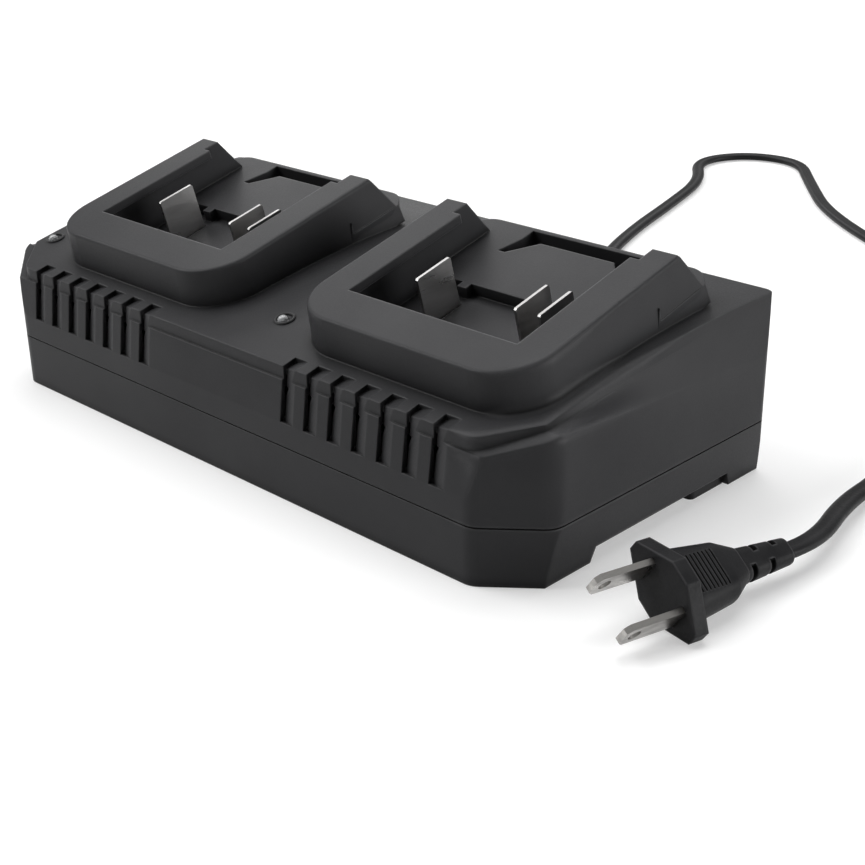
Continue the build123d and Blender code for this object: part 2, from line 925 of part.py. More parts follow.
def standing_block(x, y, length, depth, height, base):
    """Plain box seated on a height, given by its middle and its sizes."""
    with BuildPart() as block:
        with BuildSketch(Plane(origin=(x, y, base))):
            Rectangle(length, depth)
        extrude(amount=height)
    return block.part


def standing_can(x, y, radius, height, base, groove):
    """Round can seated on a height, with a groove above its foot."""
    with BuildPart() as can:
        with BuildSketch(Plane(origin=(x, y, base), x_dir=(1, 0, 0), z_dir=(0, -1, 0))):
            with BuildLine():
                Polyline(
                    (0, 0),
                    (radius, 0),
                    (radius, 2 * groove),
                    (radius - groove, 3 * groove),
                    (radius, 4 * groove),
                    (radius, height - groove),
                    (radius - groove, height),
                    (0, height),
                    close=True,
                )
            make_face()
        revolve(axis=Axis((x, y, base), (0, 0, 1)))
    return can.part


# Mains side of the board
bulk_capacitor = standing_can(bulk_x, bulk_y, bulk_radius, bulk_height, board_top, can_groove)
bulk_capacitor.label = "bulk_capacitor"
export_step(bulk_capacitor, "parts/bulk_capacitor.step")
bridge_rectifier = standing_block(bridge_x, bridge_y, bridge_length, bridge_depth, bridge_height, board_top)
bridge_rectifier.label = "bridge_rectifier"
export_step(bridge_rectifier, "parts/bridge_rectifier.step")

with BuildPart() as fuse_clips:
    for clip_x in (fuse_x - fuse_length / 2 + fuse_cap / 2, fuse_x + fuse_length / 2 - fuse_cap / 2):
        with BuildSketch(Plane.YZ.offset(clip_x)):
            with BuildLine():
                Polyline(
                    (fuse_y - fuse_radius, board_top),
                    (fuse_y + fuse_radius, board_top),
                    (fuse_y + fuse_radius, fuse_z),
                    (fuse_y - fuse_radius, fuse_z),
                    close=True,
                )
            make_face()
            with BuildLine():
                CenterArc((fuse_y, fuse_z), fuse_radius, 0, 360)
            make_face(mode=Mode.SUBTRACT)
        extrude(amount=fuse_cap / 2 - fuse_clearance, both=True)
fuse_clips.part.label = "fuse_clips"
export_step(fuse_clips.part, "parts/fuse_clips.step")

with BuildPart() as fuse:
    with BuildSketch(Plane.YZ.offset(fuse_x - fuse_length / 2)):
        with BuildLine():
            CenterArc((fuse_y, fuse_z), fuse_radius, 0, 360)
        make_face()
    extrude(amount=fuse_cap)
    with BuildSketch(Plane.YZ.offset(fuse_x + fuse_length / 2)):
        with BuildLine():
            CenterArc((fuse_y, fuse_z), fuse_radius, 0, 360)
        make_face()
    extrude(amount=-fuse_cap)
    with BuildSketch(Plane.YZ.offset(fuse_x)):
        with BuildLine():
            CenterArc((fuse_y, fuse_z), fuse_radius - fuse_clearance, 0, 360)
        make_face()
    extrude(amount=fuse_length / 2 - fuse_cap, both=True)
fuse.part.label = "fuse"
export_step(fuse.part, "parts/fuse.step")

# Choke: upright frame core with a winding on its lower bar
with BuildPart() as choke_core:
    with BuildSketch(Plane.XZ.offset(-choke_y)):
        with BuildLine():
            Polyline(
                (choke_x - choke_length / 2, board_top),
                (choke_x + choke_length / 2, board_top),
                (choke_x + choke_length / 2, board_top + choke_height),
                (choke_x - choke_length / 2, board_top + choke_height),
                close=True,
            )
        make_face()
        with BuildLine():
            Polyline(
                (choke_x - choke_length / 2 + choke_bar, board_top + choke_bar),
                (choke_x + choke_length / 2 - choke_bar, board_top + choke_bar),
                (choke_x + choke_length / 2 - choke_bar, board_top + choke_height - choke_bar),
                (choke_x - choke_length / 2 + choke_bar, board_top + choke_height - choke_bar),
                close=True,
            )
        make_face(mode=Mode.SUBTRACT)
    extrude(amount=choke_bar / 2, both=True)
choke_core.part.label = "choke_core"
export_step(choke_core.part, "parts/choke_core.step")

with BuildPart() as choke_winding:
    with BuildSketch(Plane.YZ.offset(choke_x)):
        with BuildLine():
            Polyline(
                (choke_y - choke_bar, board_top + choke_height - 2 * choke_bar + choke_gap),
                (choke_y + choke_bar, board_top + choke_height - 2 * choke_bar + choke_gap),
                (choke_y + choke_bar, board_top + choke_height + choke_wire),
                (choke_y - choke_bar, board_top + choke_height + choke_wire),
                close=True,
            )
        make_face()
        with BuildLine():
            Polyline(
                (choke_y - choke_bar / 2, board_top + choke_height - choke_bar),
                (choke_y + choke_bar / 2, board_top + choke_height - choke_bar),
                (choke_y + choke_bar / 2, board_top + choke_height),
                (choke_y - choke_bar / 2, board_top + choke_height),
                close=True,
            )
        make_face(mode=Mode.SUBTRACT)
    extrude(amount=choke_length / 2 - choke_bar - choke_gap, both=True)
choke_winding.part.label = "choke_winding"
export_step(choke_winding.part, "parts/choke_winding.step")


def finned_sink(x, y, length, fin_count):
    """Upright plate with fins to the back, standing on the board."""
    with BuildPart() as sink:
        with BuildSketch(Plane(origin=(x, y, board_top))):
            with BuildLine():
                Polyline(
                    (-length / 2, 0),
                    (length / 2, 0),
                    (length / 2, sink_plate),
                    (-length / 2, sink_plate),
                    close=True,
                )
            make_face()
            for number in range(fin_count):
                left = -length / 2 + number * (length - sink_fin) / (fin_count - 1)
                with BuildLine():
                    Polyline(
                        (left, sink_plate),
                        (left + sink_fin, sink_plate),
                        (left + sink_fin, sink_depth),
                        (left, sink_depth),
                        close=True,
                    )
                make_face()
        extrude(amount=sink_height)
    return sink.part


mains_heat_sink = finned_sink(mains_sink_x, mains_sink_y, mains_sink_length, 4)
mains_heat_sink.label = "mains_heat_sink"
export_step(mains_heat_sink, "parts/mains_heat_sink.step")
output_heat_sink = finned_sink(output_sink_x, output_sink_y, output_sink_length, 5)
output_heat_sink.label = "output_heat_sink"
export_step(output_heat_sink, "parts/output_heat_sink.step")


def power_device(x, y):
    """Flat power device with a metal tab and three legs, its back at y."""
    with BuildPart() as device:
        with BuildSketch(Plane(origin=(x, y - device_depth / 2, board_top + device_leg))):
            Rectangle(device_width, device_depth)
        extrude(amount=device_height)
        with BuildSketch(Plane(origin=(x, y - tab_depth / 2, board_top + device_leg + device_height))):
            Rectangle(device_width, tab_depth)
        extrude(amount=tab_height)
        for leg in (-1, 0, 1):
            with BuildSketch(Plane(origin=(x + leg * leg_pitch, y - device_depth / 2, board_top))):
                Rectangle(leg_width, leg_width)
            extrude(amount=device_leg)
    return device.part


switching_transistor = power_device(mains_sink_x, mains_sink_y)
switching_transistor.label = "switching_transistor"
export_step(switching_transistor, "parts/switching_transistor.step")
output_diode = power_device(output_sink_x, output_sink_y)
output_diode.label = "output_diode"
export_step(output_diode, "parts/output_diode.step")

# Transformer: double window core, bobbin on its middle leg, winding on the bobbin
core_bottom = board_top + bobbin_foot
core_window = core_length / 2 - core_leg / 2 - core_side
with BuildPart() as transformer_core:
    with BuildSketch(Plane.XZ.offset(-transformer_y)):
        with BuildLine():
            Polyline(
                (transformer_x - core_length / 2, core_bottom),
                (transformer_x + core_length / 2, core_bottom),
                (transformer_x + core_length / 2, core_bottom + core_height),
                (transformer_x - core_length / 2, core_bottom + core_height),
                close=True,
            )
        make_face()
        for window in (-1, 1):
            with BuildLine():
                near = transformer_x + window * core_leg / 2
                far = transformer_x + window * (core_leg / 2 + core_window)
                Polyline(
                    (near, core_bottom + core_side),
                    (far, core_bottom + core_side),
                    (far, core_bottom + core_height - core_side),
                    (near, core_bottom + core_height - core_side),
                    close=True,
                )
            make_face(mode=Mode.SUBTRACT)
    extrude(amount=core_leg / 2, both=True)
transformer_core.part.label = "transformer_core"
export_step(transformer_core.part, "parts/transformer_core.step")

bobbin_bottom = core_bottom + core_side
bobbin_height = core_height - 2 * core_side
def transformer_plane(height):
    """Level plane through the transformer's middle."""
    return Plane(origin=(transformer_x, transformer_y, height))


with BuildPart() as transformer_bobbin:
    with BuildSketch(transformer_plane(bobbin_bottom)):
        Rectangle(core_leg + 2 * core_window - bobbin_gap, bobbin_depth)
    extrude(amount=bobbin_wall)
    with BuildSketch(transformer_plane(bobbin_bottom + bobbin_wall)):
        Rectangle(core_leg + 2 * bobbin_wall, core_leg + 2 * bobbin_wall)
    extrude(amount=bobbin_height - 2 * bobbin_wall)
    with BuildSketch(transformer_plane(bobbin_bottom + bobbin_height - bobbin_wall)):
        Rectangle(core_leg + 2 * core_window - bobbin_gap, bobbin_depth)
    extrude(amount=bobbin_wall)
    with BuildSketch(transformer_plane(bobbin_bottom)):
        Rectangle(core_leg, core_leg)
    extrude(amount=bobbin_height, mode=Mode.SUBTRACT)
    for row in (-1, 1):
        rail_y = transformer_y + row * (bobbin_depth / 2 - bobbin_rail / 2)
        with BuildSketch(Plane(origin=(transformer_x, rail_y, board_top))):
            Rectangle(core_leg + 2 * core_window - bobbin_gap, bobbin_rail)
        extrude(amount=bobbin_bottom - board_top)
transformer_bobbin.part.label = "transformer_bobbin"
export_step(transformer_bobbin.part, "parts/transformer_bobbin.step")

with BuildPart() as transformer_winding:
    with BuildSketch(transformer_plane(bobbin_bottom + bobbin_wall)) as winding_plan:
        Rectangle(core_leg + 2 * core_window - winding_gap, bobbin_depth - winding_gap)
        fillet(winding_plan.vertices(), winding_corner)
        Rectangle(core_leg + 2 * bobbin_wall, core_leg + 2 * bobbin_wall, mode=Mode.SUBTRACT)
    extrude(amount=bobbin_height - 2 * bobbin_wall)
transformer_winding.part.label = "transformer_winding"
export_step(transformer_winding.part, "parts/transformer_winding.step")

# Output side of the board
for number, can_x in enumerate(output_can_xs):
    name = "output_capacitor_" + ("a", "b")[number]
    output_can = standing_can(
        can_x,
        output_can_y,
        output_can_radius,
        output_can_height,
        board_top,
        can_groove,
    )
    output_can.label = name
    export_step(output_can, "parts/" + name + ".step")
for name, dock_x in dock_xs.items():
    chip = standing_block(dock_x, chip_y, chip_length, chip_depth, chip_height, board_top)
    chip.label = "charge_controller_" + name
    export_step(chip, "parts/charge_controller_" + name + ".step")


# Contacts: blades through slots in the pocket floor, held by a terminal block under it
block_drop = pocket_drop + floor_thickness
tail_drop = block_drop + terminal_depth + tail_length


def contact_blade(dock_x, blade_x, start, top):
    """Upright contact blade with a lead-in at the front and a narrow tail below."""
    end = -start + blade_length
    middle = -start + blade_length / 2
    with BuildPart() as blade:
        with BuildSketch(dock_side_plane(dock_x + blade_x)):
            with BuildLine():
                Polyline(
                    (-start, -block_drop - terminal_depth),
                    (-start, -top - blade_lead_in),
                    (-start + blade_lead_in, -top),
                    (end - blade_lead_in, -top),
                    (end, -top - blade_lead_in),
                    (end, -block_drop - terminal_depth),
                    (middle + tail_width / 2, -block_drop - terminal_depth),
                    (middle + tail_width / 2, -tail_drop),
                    (middle - tail_width / 2, -tail_drop),
                    (middle - tail_width / 2, -block_drop - terminal_depth),
                    close=True,
                )
            make_face()
        extrude(amount=blade_thickness / 2, both=True)
    return blade.part


def round_wire(points, radius, spread):
    """Insulated wire along straight runs joined by arcs."""
    with BuildPart() as wire:
        with BuildLine() as wire_path:
            FilletPolyline(*points, radius=spread)
        with BuildSketch(Plane(origin=wire_path.line @ 0, z_dir=wire_path.line % 0)):
            Circle(radius)
        sweep()
    return wire.part


blade_kinds = [
    ("negative", -power_blade_x, blade_front, blade_top),
    ("positive", power_blade_x, blade_front, blade_top),
    ("signal", signal_blade_x, signal_blade_front, signal_blade_top),
]
for name, dock_x in dock_xs.items():
    with BuildPart() as terminal_block:
        with BuildSketch(dock_plane(dock_x, block_drop)):
            with BuildLine():
                Polyline(
                    (-power_blade_x - terminal_margin, -blade_front - terminal_margin / 2),
                    (signal_blade_x + terminal_margin, -blade_front - terminal_margin / 2),
                    (signal_blade_x + terminal_margin, terminal_back),
                    (-power_blade_x - terminal_margin, terminal_back),
                    close=True,
                )
            make_face()
            for blade_x, blade_start in blade_places:
                with BuildLine():
                    Polyline(
                        (blade_x - blade_thickness / 2, -blade_start),
                        (blade_x + blade_thickness / 2, -blade_start),
                        (blade_x + blade_thickness / 2, -blade_start + blade_length),
                        (blade_x - blade_thickness / 2, -blade_start + blade_length),
                        close=True,
                    )
                make_face(mode=Mode.SUBTRACT)
        extrude(amount=-terminal_depth)
    terminal_block.part.label = "terminal_block_" + name
    export_step(terminal_block.part, "parts/terminal_block_" + name + ".step")
    wires = []
    for kind, blade_x, start, top in blade_kinds:
        blade = contact_blade(dock_x, blade_x, start, top)
        blade.label = "contact_" + kind + "_" + name
        export_step(blade, "parts/contact_" + kind + "_" + name + ".step")
        middle = -start + blade_length / 2
        first = dock_point(dock_x, blade_x, middle, tail_drop)
        second = dock_point(dock_x, blade_x, middle, tail_drop + lead_drop)
        third = (dock_x + blade_x, lead_pad_y, board_top + lead_drop)
        fourth = (dock_x + blade_x, lead_pad_y, board_top)
        wires.append(round_wire([first, second, third, fourth], lead_radius, lead_bend))
    output_leads = Compound(children=wires)
    output_leads.label = "output_leads_" + name
    export_step(output_leads, "parts/output_leads_" + name + ".step")

# Indicator lights and their leads
for name, pad_x in (("left", light_pad_left_x), ("right", light_pad_right_x)):
    light_x = light_xs[name]
    flange_bottom = -wall - light_flange_thickness
    with BuildPart() as light:
        with BuildSketch(light_plane(light_x, flange_bottom)):
            Circle(light_flange_radius)
        extrude(amount=light_flange_thickness)
        with BuildSketch(light_plane(light_x, -wall)):
            Circle(light_radius)
        extrude(amount=wall + light_dome_base + light_radius)
        fillet(light.faces().sort_by(Axis.Z)[-1].edges(), light_radius - 0.1)
    light.part.label = "indicator_light_" + name
    export_step(light.part, "parts/indicator_light_" + name + ".step")
    legs = []
    for leg_side in (-1, 1):
        start_plane = light_plane(light_x, flange_bottom)
        drop_plane = light_plane(light_x, flange_bottom - light_leg_drop)
        first = start_plane.from_local_coords((0, leg_side * light_leg_gap, 0))
        second = drop_plane.from_local_coords((0, leg_side * light_leg_gap, 0))
        third = (pad_x, light_pad_y + leg_side * light_leg_gap, board_top + lead_drop)
        fourth = (pad_x, light_pad_y + leg_side * light_leg_gap, board_top)
        legs.append(round_wire([first, second, third, fourth], light_leg_radius, lead_bend))
    light_leads = Compound(children=legs)
    light_leads.label = "light_leads_" + name
    export_step(light_leads, "parts/light_leads_" + name + ".step")

# Gland with a tapered, ringed strain relief
gland_inner_y = half_depth - wall - gland_inner_flange
relief_start_y = half_depth + gland_outer_flange
relief_end_y = relief_start_y + gland_length
with BuildPart() as cord_gland:
    with BuildSketch(Plane(origin=(gland_x, gland_inner_y, seam_height), x_dir=(1, 0, 0), z_dir=(0, 0, 1))):
        with BuildLine():
            inner_end = gland_inner_flange
            neck_end = inner_end + wall
            Polyline(
                (0, 0),
                (gland_flange_radius, 0),
                (gland_flange_radius, inner_end),
                (gland_neck_radius - gland_clearance, inner_end),
                (gland_neck_radius - gland_clearance, neck_end),
                (gland_flange_radius, neck_end),
                (gland_flange_radius, neck_end + gland_outer_flange),
                (gland_root_radius, neck_end + gland_outer_flange),
                (gland_tip_radius, neck_end + gland_outer_flange + gland_length),
                (0, neck_end + gland_outer_flange + gland_length),
                close=True,
            )
        make_face()
    revolve(axis=Axis((gland_x, gland_inner_y, seam_height), (0, 1, 0)))
    for ring in range(gland_rings):
        ring_y = relief_start_y + (ring + 1) * gland_length / (gland_rings + 1)
        with BuildSketch(Plane.XZ.offset(-ring_y)):
            with BuildLine():
                CenterArc((gland_x, seam_height), gland_root_radius + 1, 0, 360)
            make_face()
            with BuildLine():
                CenterArc((gland_x, seam_height), gland_tip_radius - gland_ring_depth, 0, 360)
            make_face(mode=Mode.SUBTRACT)
        extrude(amount=-gland_ring_gap, mode=Mode.SUBTRACT)
cord_gland.part.label = "cord_gland"
export_step(cord_gland.part, "parts/cord_gland.step")

for name, lead_side in (("live", -1), ("neutral", 1)):
    lead_x = gland_x + lead_side * mains_lead_gap
    lead_y = gland_inner_y - mains_lead_reach
    points = [
        (lead_x, gland_inner_y, seam_height),
        (lead_x, lead_y, seam_height),
        (lead_x, lead_y, board_top),
    ]
    lead = round_wire(points, mains_lead_radius, mains_bend)
    lead.label = "mains_lead_" + name
    export_step(lead, "parts/mains_lead_" + name + ".step")

# Plug: moulded body with a waisted grip and relief, and two blades
plug_roll = math.atan((plug_half_height - plug_end_half) / (plug_half_width - plug_flat_half))
rest_radius = plug_half_width * math.sin(plug_roll) + plug_end_half * math.cos(plug_roll)
turn = math.radians(plug_turn)
pitch = math.radians(plug_pitch)
axis_x = -math.sin(turn) * math.cos(pitch)
axis_y = -math.cos(turn) * math.cos(pitch)
axis_z = math.sin(pitch)
level_x = -math.cos(turn)
level_y = math.sin(turn)
up_x = math.sin(turn) * math.sin(pitch)
up_y = math.cos(turn) * math.sin(pitch)
up_z = math.cos(pitch)
blade_dir_x = level_x * math.cos(plug_roll) + up_x * math.sin(plug_roll)
blade_dir_y = level_y * math.cos(plug_roll) + up_y * math.sin(plug_roll)
blade_dir_z = up_z * math.sin(plug_roll)
plug_face_z = rest_radius * math.cos(pitch) + plug_flange_thickness * math.sin(pitch) + floor_lift
waist_back = plug_flange_thickness + plug_grip_length
relief_front = waist_back + plug_shoulder_length
relief_back = relief_front + plug_relief_length


def plug_plane(distance):
    """Plane square to the plug's axis, a distance ahead of its face; local x runs from blade to blade."""
    return Plane(
        origin=(
            plug_face_x + distance * axis_x,
            plug_face_y + distance * axis_y,
            plug_face_z + distance * axis_z,
        ),
        x_dir=(blade_dir_x, blade_dir_y, blade_dir_z),
        z_dir=(axis_x, axis_y, axis_z),
    )


def plug_side_plane(distance):
    """Plane across the plug's flat faces, a distance behind its face; local x toward the blades' tips."""
    square = plug_plane(-distance)
    return Plane(origin=square.origin, x_dir=square.z_dir, z_dir=square.y_dir)


with BuildPart() as plug_body:
    with BuildSketch(plug_plane(-plug_flange_thickness)):
        with BuildLine():
            Polyline(
                (plug_half_width, plug_end_half),
                (plug_flat_half, plug_half_height),
                (-plug_flat_half, plug_half_height),
                (-plug_half_width, plug_end_half),
                (-plug_half_width, -plug_end_half),
                (-plug_flat_half, -plug_half_height),
                (plug_flat_half, -plug_half_height),
                (plug_half_width, -plug_end_half),
                close=True,
            )
        make_face()
    extrude(amount=plug_flange_thickness)
    with BuildSketch(plug_plane(-plug_flange_thickness)):
        RectangleRounded(plug_grip_width, plug_grip_height, plug_grip_corner)
    with BuildSketch(plug_plane(-waist_back)):
        RectangleRounded(plug_waist_width, plug_waist_height, plug_waist_corner)
    loft()
    with BuildSketch(plug_plane(-waist_back)):
        RectangleRounded(plug_waist_width, plug_waist_height, plug_waist_corner)
    with BuildSketch(plug_plane(-relief_front)):
        RectangleRounded(plug_tail_width, plug_tail_height, plug_corner)
    loft()
    with BuildSketch(plug_plane(-relief_front)):
        RectangleRounded(plug_relief_width, plug_relief_height, plug_corner)
    with BuildSketch(plug_plane(-relief_back)):
        RectangleRounded(plug_tip_width, plug_tip_height, plug_corner)
    loft()

    # Relief slots, cut from either side in turn
    for number in range(plug_slot_count):
        slot_side = 1 if number % 2 else -1
        with BuildSketch(plug_side_plane(relief_front + plug_slot_start + number * plug_slot_pitch)):
            with BuildLine():
                Polyline(
                    (0, slot_side * plug_slot_core),
                    (0, slot_side * plug_relief_width),
                    (-plug_slot_width, slot_side * plug_relief_width),
                    (-plug_slot_width, slot_side * plug_slot_core),
                    close=True,
                )
            make_face()
        extrude(amount=plug_relief_height, both=True, mode=Mode.SUBTRACT)

    # Grip ribs on both flat faces
    for number in range(plug_rib_count):
        rib_back = plug_flange_thickness + plug_rib_start + number * plug_rib_pitch
        along_grip = (rib_back - plug_flange_thickness) / plug_grip_length
        thinning = (plug_grip_height - plug_waist_height) / 2 * along_grip
        rib_floor = plug_grip_height / 2 - thinning - plug_rib_depth
        for rib_side in (-1, 1):
            with BuildSketch(plug_plane(-rib_back)):
                with BuildLine():
                    Polyline(
                        (-plug_rib_half, rib_side * rib_floor),
                        (plug_rib_half, rib_side * rib_floor),
                        (plug_rib_half, rib_side * plug_grip_height),
                        (-plug_rib_half, rib_side * plug_grip_height),
                        close=True,
                    )
                make_face()
            extrude(amount=plug_rib_width, mode=Mode.SUBTRACT)

    # Sockets of the two blades
    for blade_side in (-1, 1):
        with BuildSketch(plug_plane(-plug_blade_root)):
            with BuildLine():
                middle = blade_side * plug_blade_gap / 2
                Polyline(
                    (middle - plug_blade_thickness / 2, -plug_blade_width / 2),
                    (middle + plug_blade_thickness / 2, -plug_blade_width / 2),
                    (middle + plug_blade_thickness / 2, plug_blade_width / 2),
                    (middle - plug_blade_thickness / 2, plug_blade_width / 2),
                    close=True,
                )
            make_face()
        extrude(amount=plug_blade_root, mode=Mode.SUBTRACT)
plug_body.part.label = "plug_body"
export_step(plug_body.part, "parts/plug_body.step")

for name, blade_side in (("a", -1), ("b", 1)):
    with BuildPart() as plug_blade:
        with BuildSketch(plug_plane(-plug_blade_root)):
            with BuildLine():
                middle = blade_side * plug_blade_gap / 2
                Polyline(
                    (middle - plug_blade_thickness / 2, -plug_blade_width / 2),
                    (middle + plug_blade_thickness / 2, -plug_blade_width / 2),
                    (middle + plug_blade_thickness / 2, plug_blade_width / 2),
                    (middle - plug_blade_thickness / 2, plug_blade_width / 2),
                    close=True,
                )
            make_face()
        extrude(amount=plug_blade_root + plug_blade_length)
        hole_plane = plug_plane(plug_blade_length - plug_hole_back)
        with BuildSketch(Plane(origin=hole_plane.origin, x_dir=hole_plane.z_dir, z_dir=hole_plane.x_dir)):
            Circle(plug_blade_hole)
        extrude(amount=plug_blade_gap, both=True, mode=Mode.SUBTRACT)
        tip_edges = plug_blade.faces().sort_by(Axis(hole_plane.origin, hole_plane.z_dir))[-1].edges()
        chamfer(tip_edges.sort_by(SortBy.LENGTH)[:2], plug_blade_bevel)
    plug_blade.part.label = "plug_blade_" + name
    export_step(plug_blade.part, "parts/plug_blade_" + name + ".step")


# Cord: straight runs joined by arcs, then the coil, then the last stretch to the plug
def cord_radii(points):
    """Arc radius at each inner point of a route: 0.45 of its shorter run over the half turn's tangent."""
    radii = []
    for before, here, after in zip(points, points[1:], points[2:]):
        first = Vector(*here) - Vector(*before)
        second = Vector(*after) - Vector(*here)
        half_turn = math.radians(first.get_angle(second)) / 2
        radii.append(0.45 * min(first.length, second.length) / math.tan(half_turn))
    return radii


def cord_tube(points):
    """Flat twin cord along a route, its wide side level."""
    radii = cord_radii(points)
    with BuildLine() as guide_path:
        FilletPolyline(*[(x, y, z + guide_lift) for x, y, z in points], radius=radii)
    with BuildPart() as tube:
        with BuildLine() as tube_path:
            FilletPolyline(*points, radius=radii)
        with BuildSketch(Plane(origin=points[0], x_dir=level_across(points), z_dir=tube_path.line % 0)):
            SlotOverall(cord_width, cord_thickness)
        sweep(path=tube_path.wires()[0], binormal=guide_path.wires()[0])
    length = tube_path.wires()[0].length
    section = cord_thickness * (cord_width - cord_thickness) + math.pi * cord_thickness ** 2 / 4
    print("cord radii", [round(radius, 1) for radius in radii])
    print("cord length", round(length, 1), "volume ratio", round(tube.part.volume / (section * length), 4))
    return tube.part


def level_across(points):
    """Level direction square to a route's first run."""
    first = Vector(*points[1]) - Vector(*points[0])
    return Vector(first.Y, -first.X, 0).normalized()


floor_z = cord_thickness / 2 + floor_lift
main_route = [
    (gland_x, relief_end_y, seam_height),
    (gland_x, 104.0, seam_height),
    (-10.0, 132.0, floor_z),
    (-36.0, 162.0, floor_z),
    (-50.0, 198.0, floor_z),
    (-62.0, 240.0, floor_z),
    (-76.0, 280.0, floor_z),
    (-94.8, 313.2, floor_z),
    (-83.4, 335.5, floor_z),
    (-58.6, 338.3, floor_z),
    (-33.9, 308.8, floor_z),
    (8.0, 265.0, floor_z),
    (68.0, 224.0, floor_z),
    (coil_x - coil_entry_x, coil_y + coil_entry_y, floor_z),
]
tail = plug_plane(-relief_back).origin
behind = plug_plane(-relief_back - plug_cord_reach).origin
end_route = [
    (tail.X, tail.Y, tail.Z),
    (behind.X, behind.Y, behind.Z),
    (140.3, 30.9, 3.2),
    (136.4, 49.5, floor_z),
    (134.5, 76.0, floor_z),
    (138.0, 104.0, floor_z),
    (146.5, 141.5, floor_z),
    (coil_x + coil_exit_x, coil_y - coil_exit_y, floor_z),
]
power_cord = cord_tube(main_route)
power_cord.label = "power_cord"
export_step(power_cord, "parts/power_cord.step")
plug_cord = cord_tube(end_route)
plug_cord.label = "plug_cord"
export_step(plug_cord, "parts/plug_cord.step")

with BuildPart() as cord_coil:
    with BuildSketch(Plane(origin=(coil_x, coil_y, floor_lift))):
        Circle(coil_outer_radius)
        Circle(coil_inner_radius, mode=Mode.SUBTRACT)
    extrude(amount=coil_height)
cord_coil.part.label = "cord_coil"
export_step(cord_coil.part, "parts/cord_coil.step")
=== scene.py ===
import math
import bpy
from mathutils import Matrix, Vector


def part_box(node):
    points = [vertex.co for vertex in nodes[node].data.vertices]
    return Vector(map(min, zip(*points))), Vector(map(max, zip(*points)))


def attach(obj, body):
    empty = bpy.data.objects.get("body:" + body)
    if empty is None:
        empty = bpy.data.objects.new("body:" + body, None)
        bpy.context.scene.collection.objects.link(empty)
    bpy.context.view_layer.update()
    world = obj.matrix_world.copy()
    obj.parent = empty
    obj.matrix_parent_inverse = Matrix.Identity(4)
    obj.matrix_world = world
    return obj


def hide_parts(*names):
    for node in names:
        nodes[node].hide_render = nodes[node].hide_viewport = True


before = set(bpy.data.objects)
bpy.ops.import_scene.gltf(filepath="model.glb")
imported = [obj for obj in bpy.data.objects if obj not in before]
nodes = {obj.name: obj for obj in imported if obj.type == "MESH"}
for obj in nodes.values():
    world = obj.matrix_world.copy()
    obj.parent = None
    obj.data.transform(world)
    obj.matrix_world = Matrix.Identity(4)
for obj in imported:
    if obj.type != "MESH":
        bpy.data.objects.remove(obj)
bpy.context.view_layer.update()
print("frame loaded", len(nodes), "nodes")
millimetre = 0.001


# small helpers for objects and node trees
def clearSelection():
    if bpy.context.object and bpy.context.object.mode != "OBJECT":
        bpy.ops.object.mode_set(mode="OBJECT")
    bpy.ops.object.select_all(action="DESELECT")


def newMaterial(name, color, roughness, metallic=0.0):
    material = bpy.data.materials.new(name)
    material.use_nodes = True
    shader = material.node_tree.nodes["Principled BSDF"]
    shader.inputs["Base Color"].default_value = (*color, 1)
    shader.inputs["Roughness"].default_value = roughness
    shader.inputs["Metallic"].default_value = metallic
    return material, material.node_tree, shader


def dress(names, material):
    for name in names:
        mesh = nodes[name].data
        mesh.materials.clear()
        mesh.materials.append(material)


def grey(value):
    return (value, value, value)


def noiseFrom(tree, scale, detail=4.0, stretch=None):
    # noise on object coordinates, drawn out along one axis where stretch is given
    place = tree.nodes.new("ShaderNodeTexCoord")
    noise = tree.nodes.new("ShaderNodeTexNoise")
    noise.inputs["Scale"].default_value = scale
    noise.inputs["Detail"].default_value = detail
    if stretch:
        mapping = tree.nodes.new("ShaderNodeMapping")
        mapping.inputs["Scale"].default_value = stretch
        tree.links.new(place.outputs["Object"], mapping.inputs["Vector"])
        tree.links.new(mapping.outputs["Vector"], noise.inputs["Vector"])
    else:
        tree.links.new(place.outputs["Object"], noise.inputs["Vector"])
    return noise.outputs["Fac"]


def rampBetween(tree, source, low, high, start=0.3, end=0.7):
    ramp = tree.nodes.new("ShaderNodeValToRGB")
    ramp.color_ramp.elements[0].position = start
    ramp.color_ramp.elements[0].color = (*low, 1)
    ramp.color_ramp.elements[1].position = end
    ramp.color_ramp.elements[1].color = (*high, 1)
    tree.links.new(source, ramp.inputs["Fac"])
    return ramp.outputs["Color"]


def mapRange(tree, source, start, end, low=0.0, high=1.0):
    node = tree.nodes.new("ShaderNodeMapRange")
    node.inputs["From Min"].default_value = start
    node.inputs["From Max"].default_value = end
    node.inputs["To Min"].default_value = low
    node.inputs["To Max"].default_value = high
    tree.links.new(source, node.inputs["Value"])
    return node


def combine(tree, operation, first, second):
    node = tree.nodes.new("ShaderNodeMath")
    node.operation = operation
    tree.links.new(first, node.inputs[0])
    tree.links.new(second, node.inputs[1])
    return node.outputs["Value"]


def colorMix(tree, factor):
    mix = tree.nodes.new("ShaderNodeMix")
    mix.data_type = "RGBA"
    tree.links.new(factor, mix.inputs["Factor"])
    return mix


def bumpFrom(tree, shader, source, strength, depth):
    bump = tree.nodes.new("ShaderNodeBump")
    bump.inputs["Strength"].default_value = strength
    bump.inputs["Distance"].default_value = depth
    tree.links.new(source, bump.inputs["Height"])
    tree.links.new(bump.outputs["Normal"], shader.inputs["Normal"])
    return bump


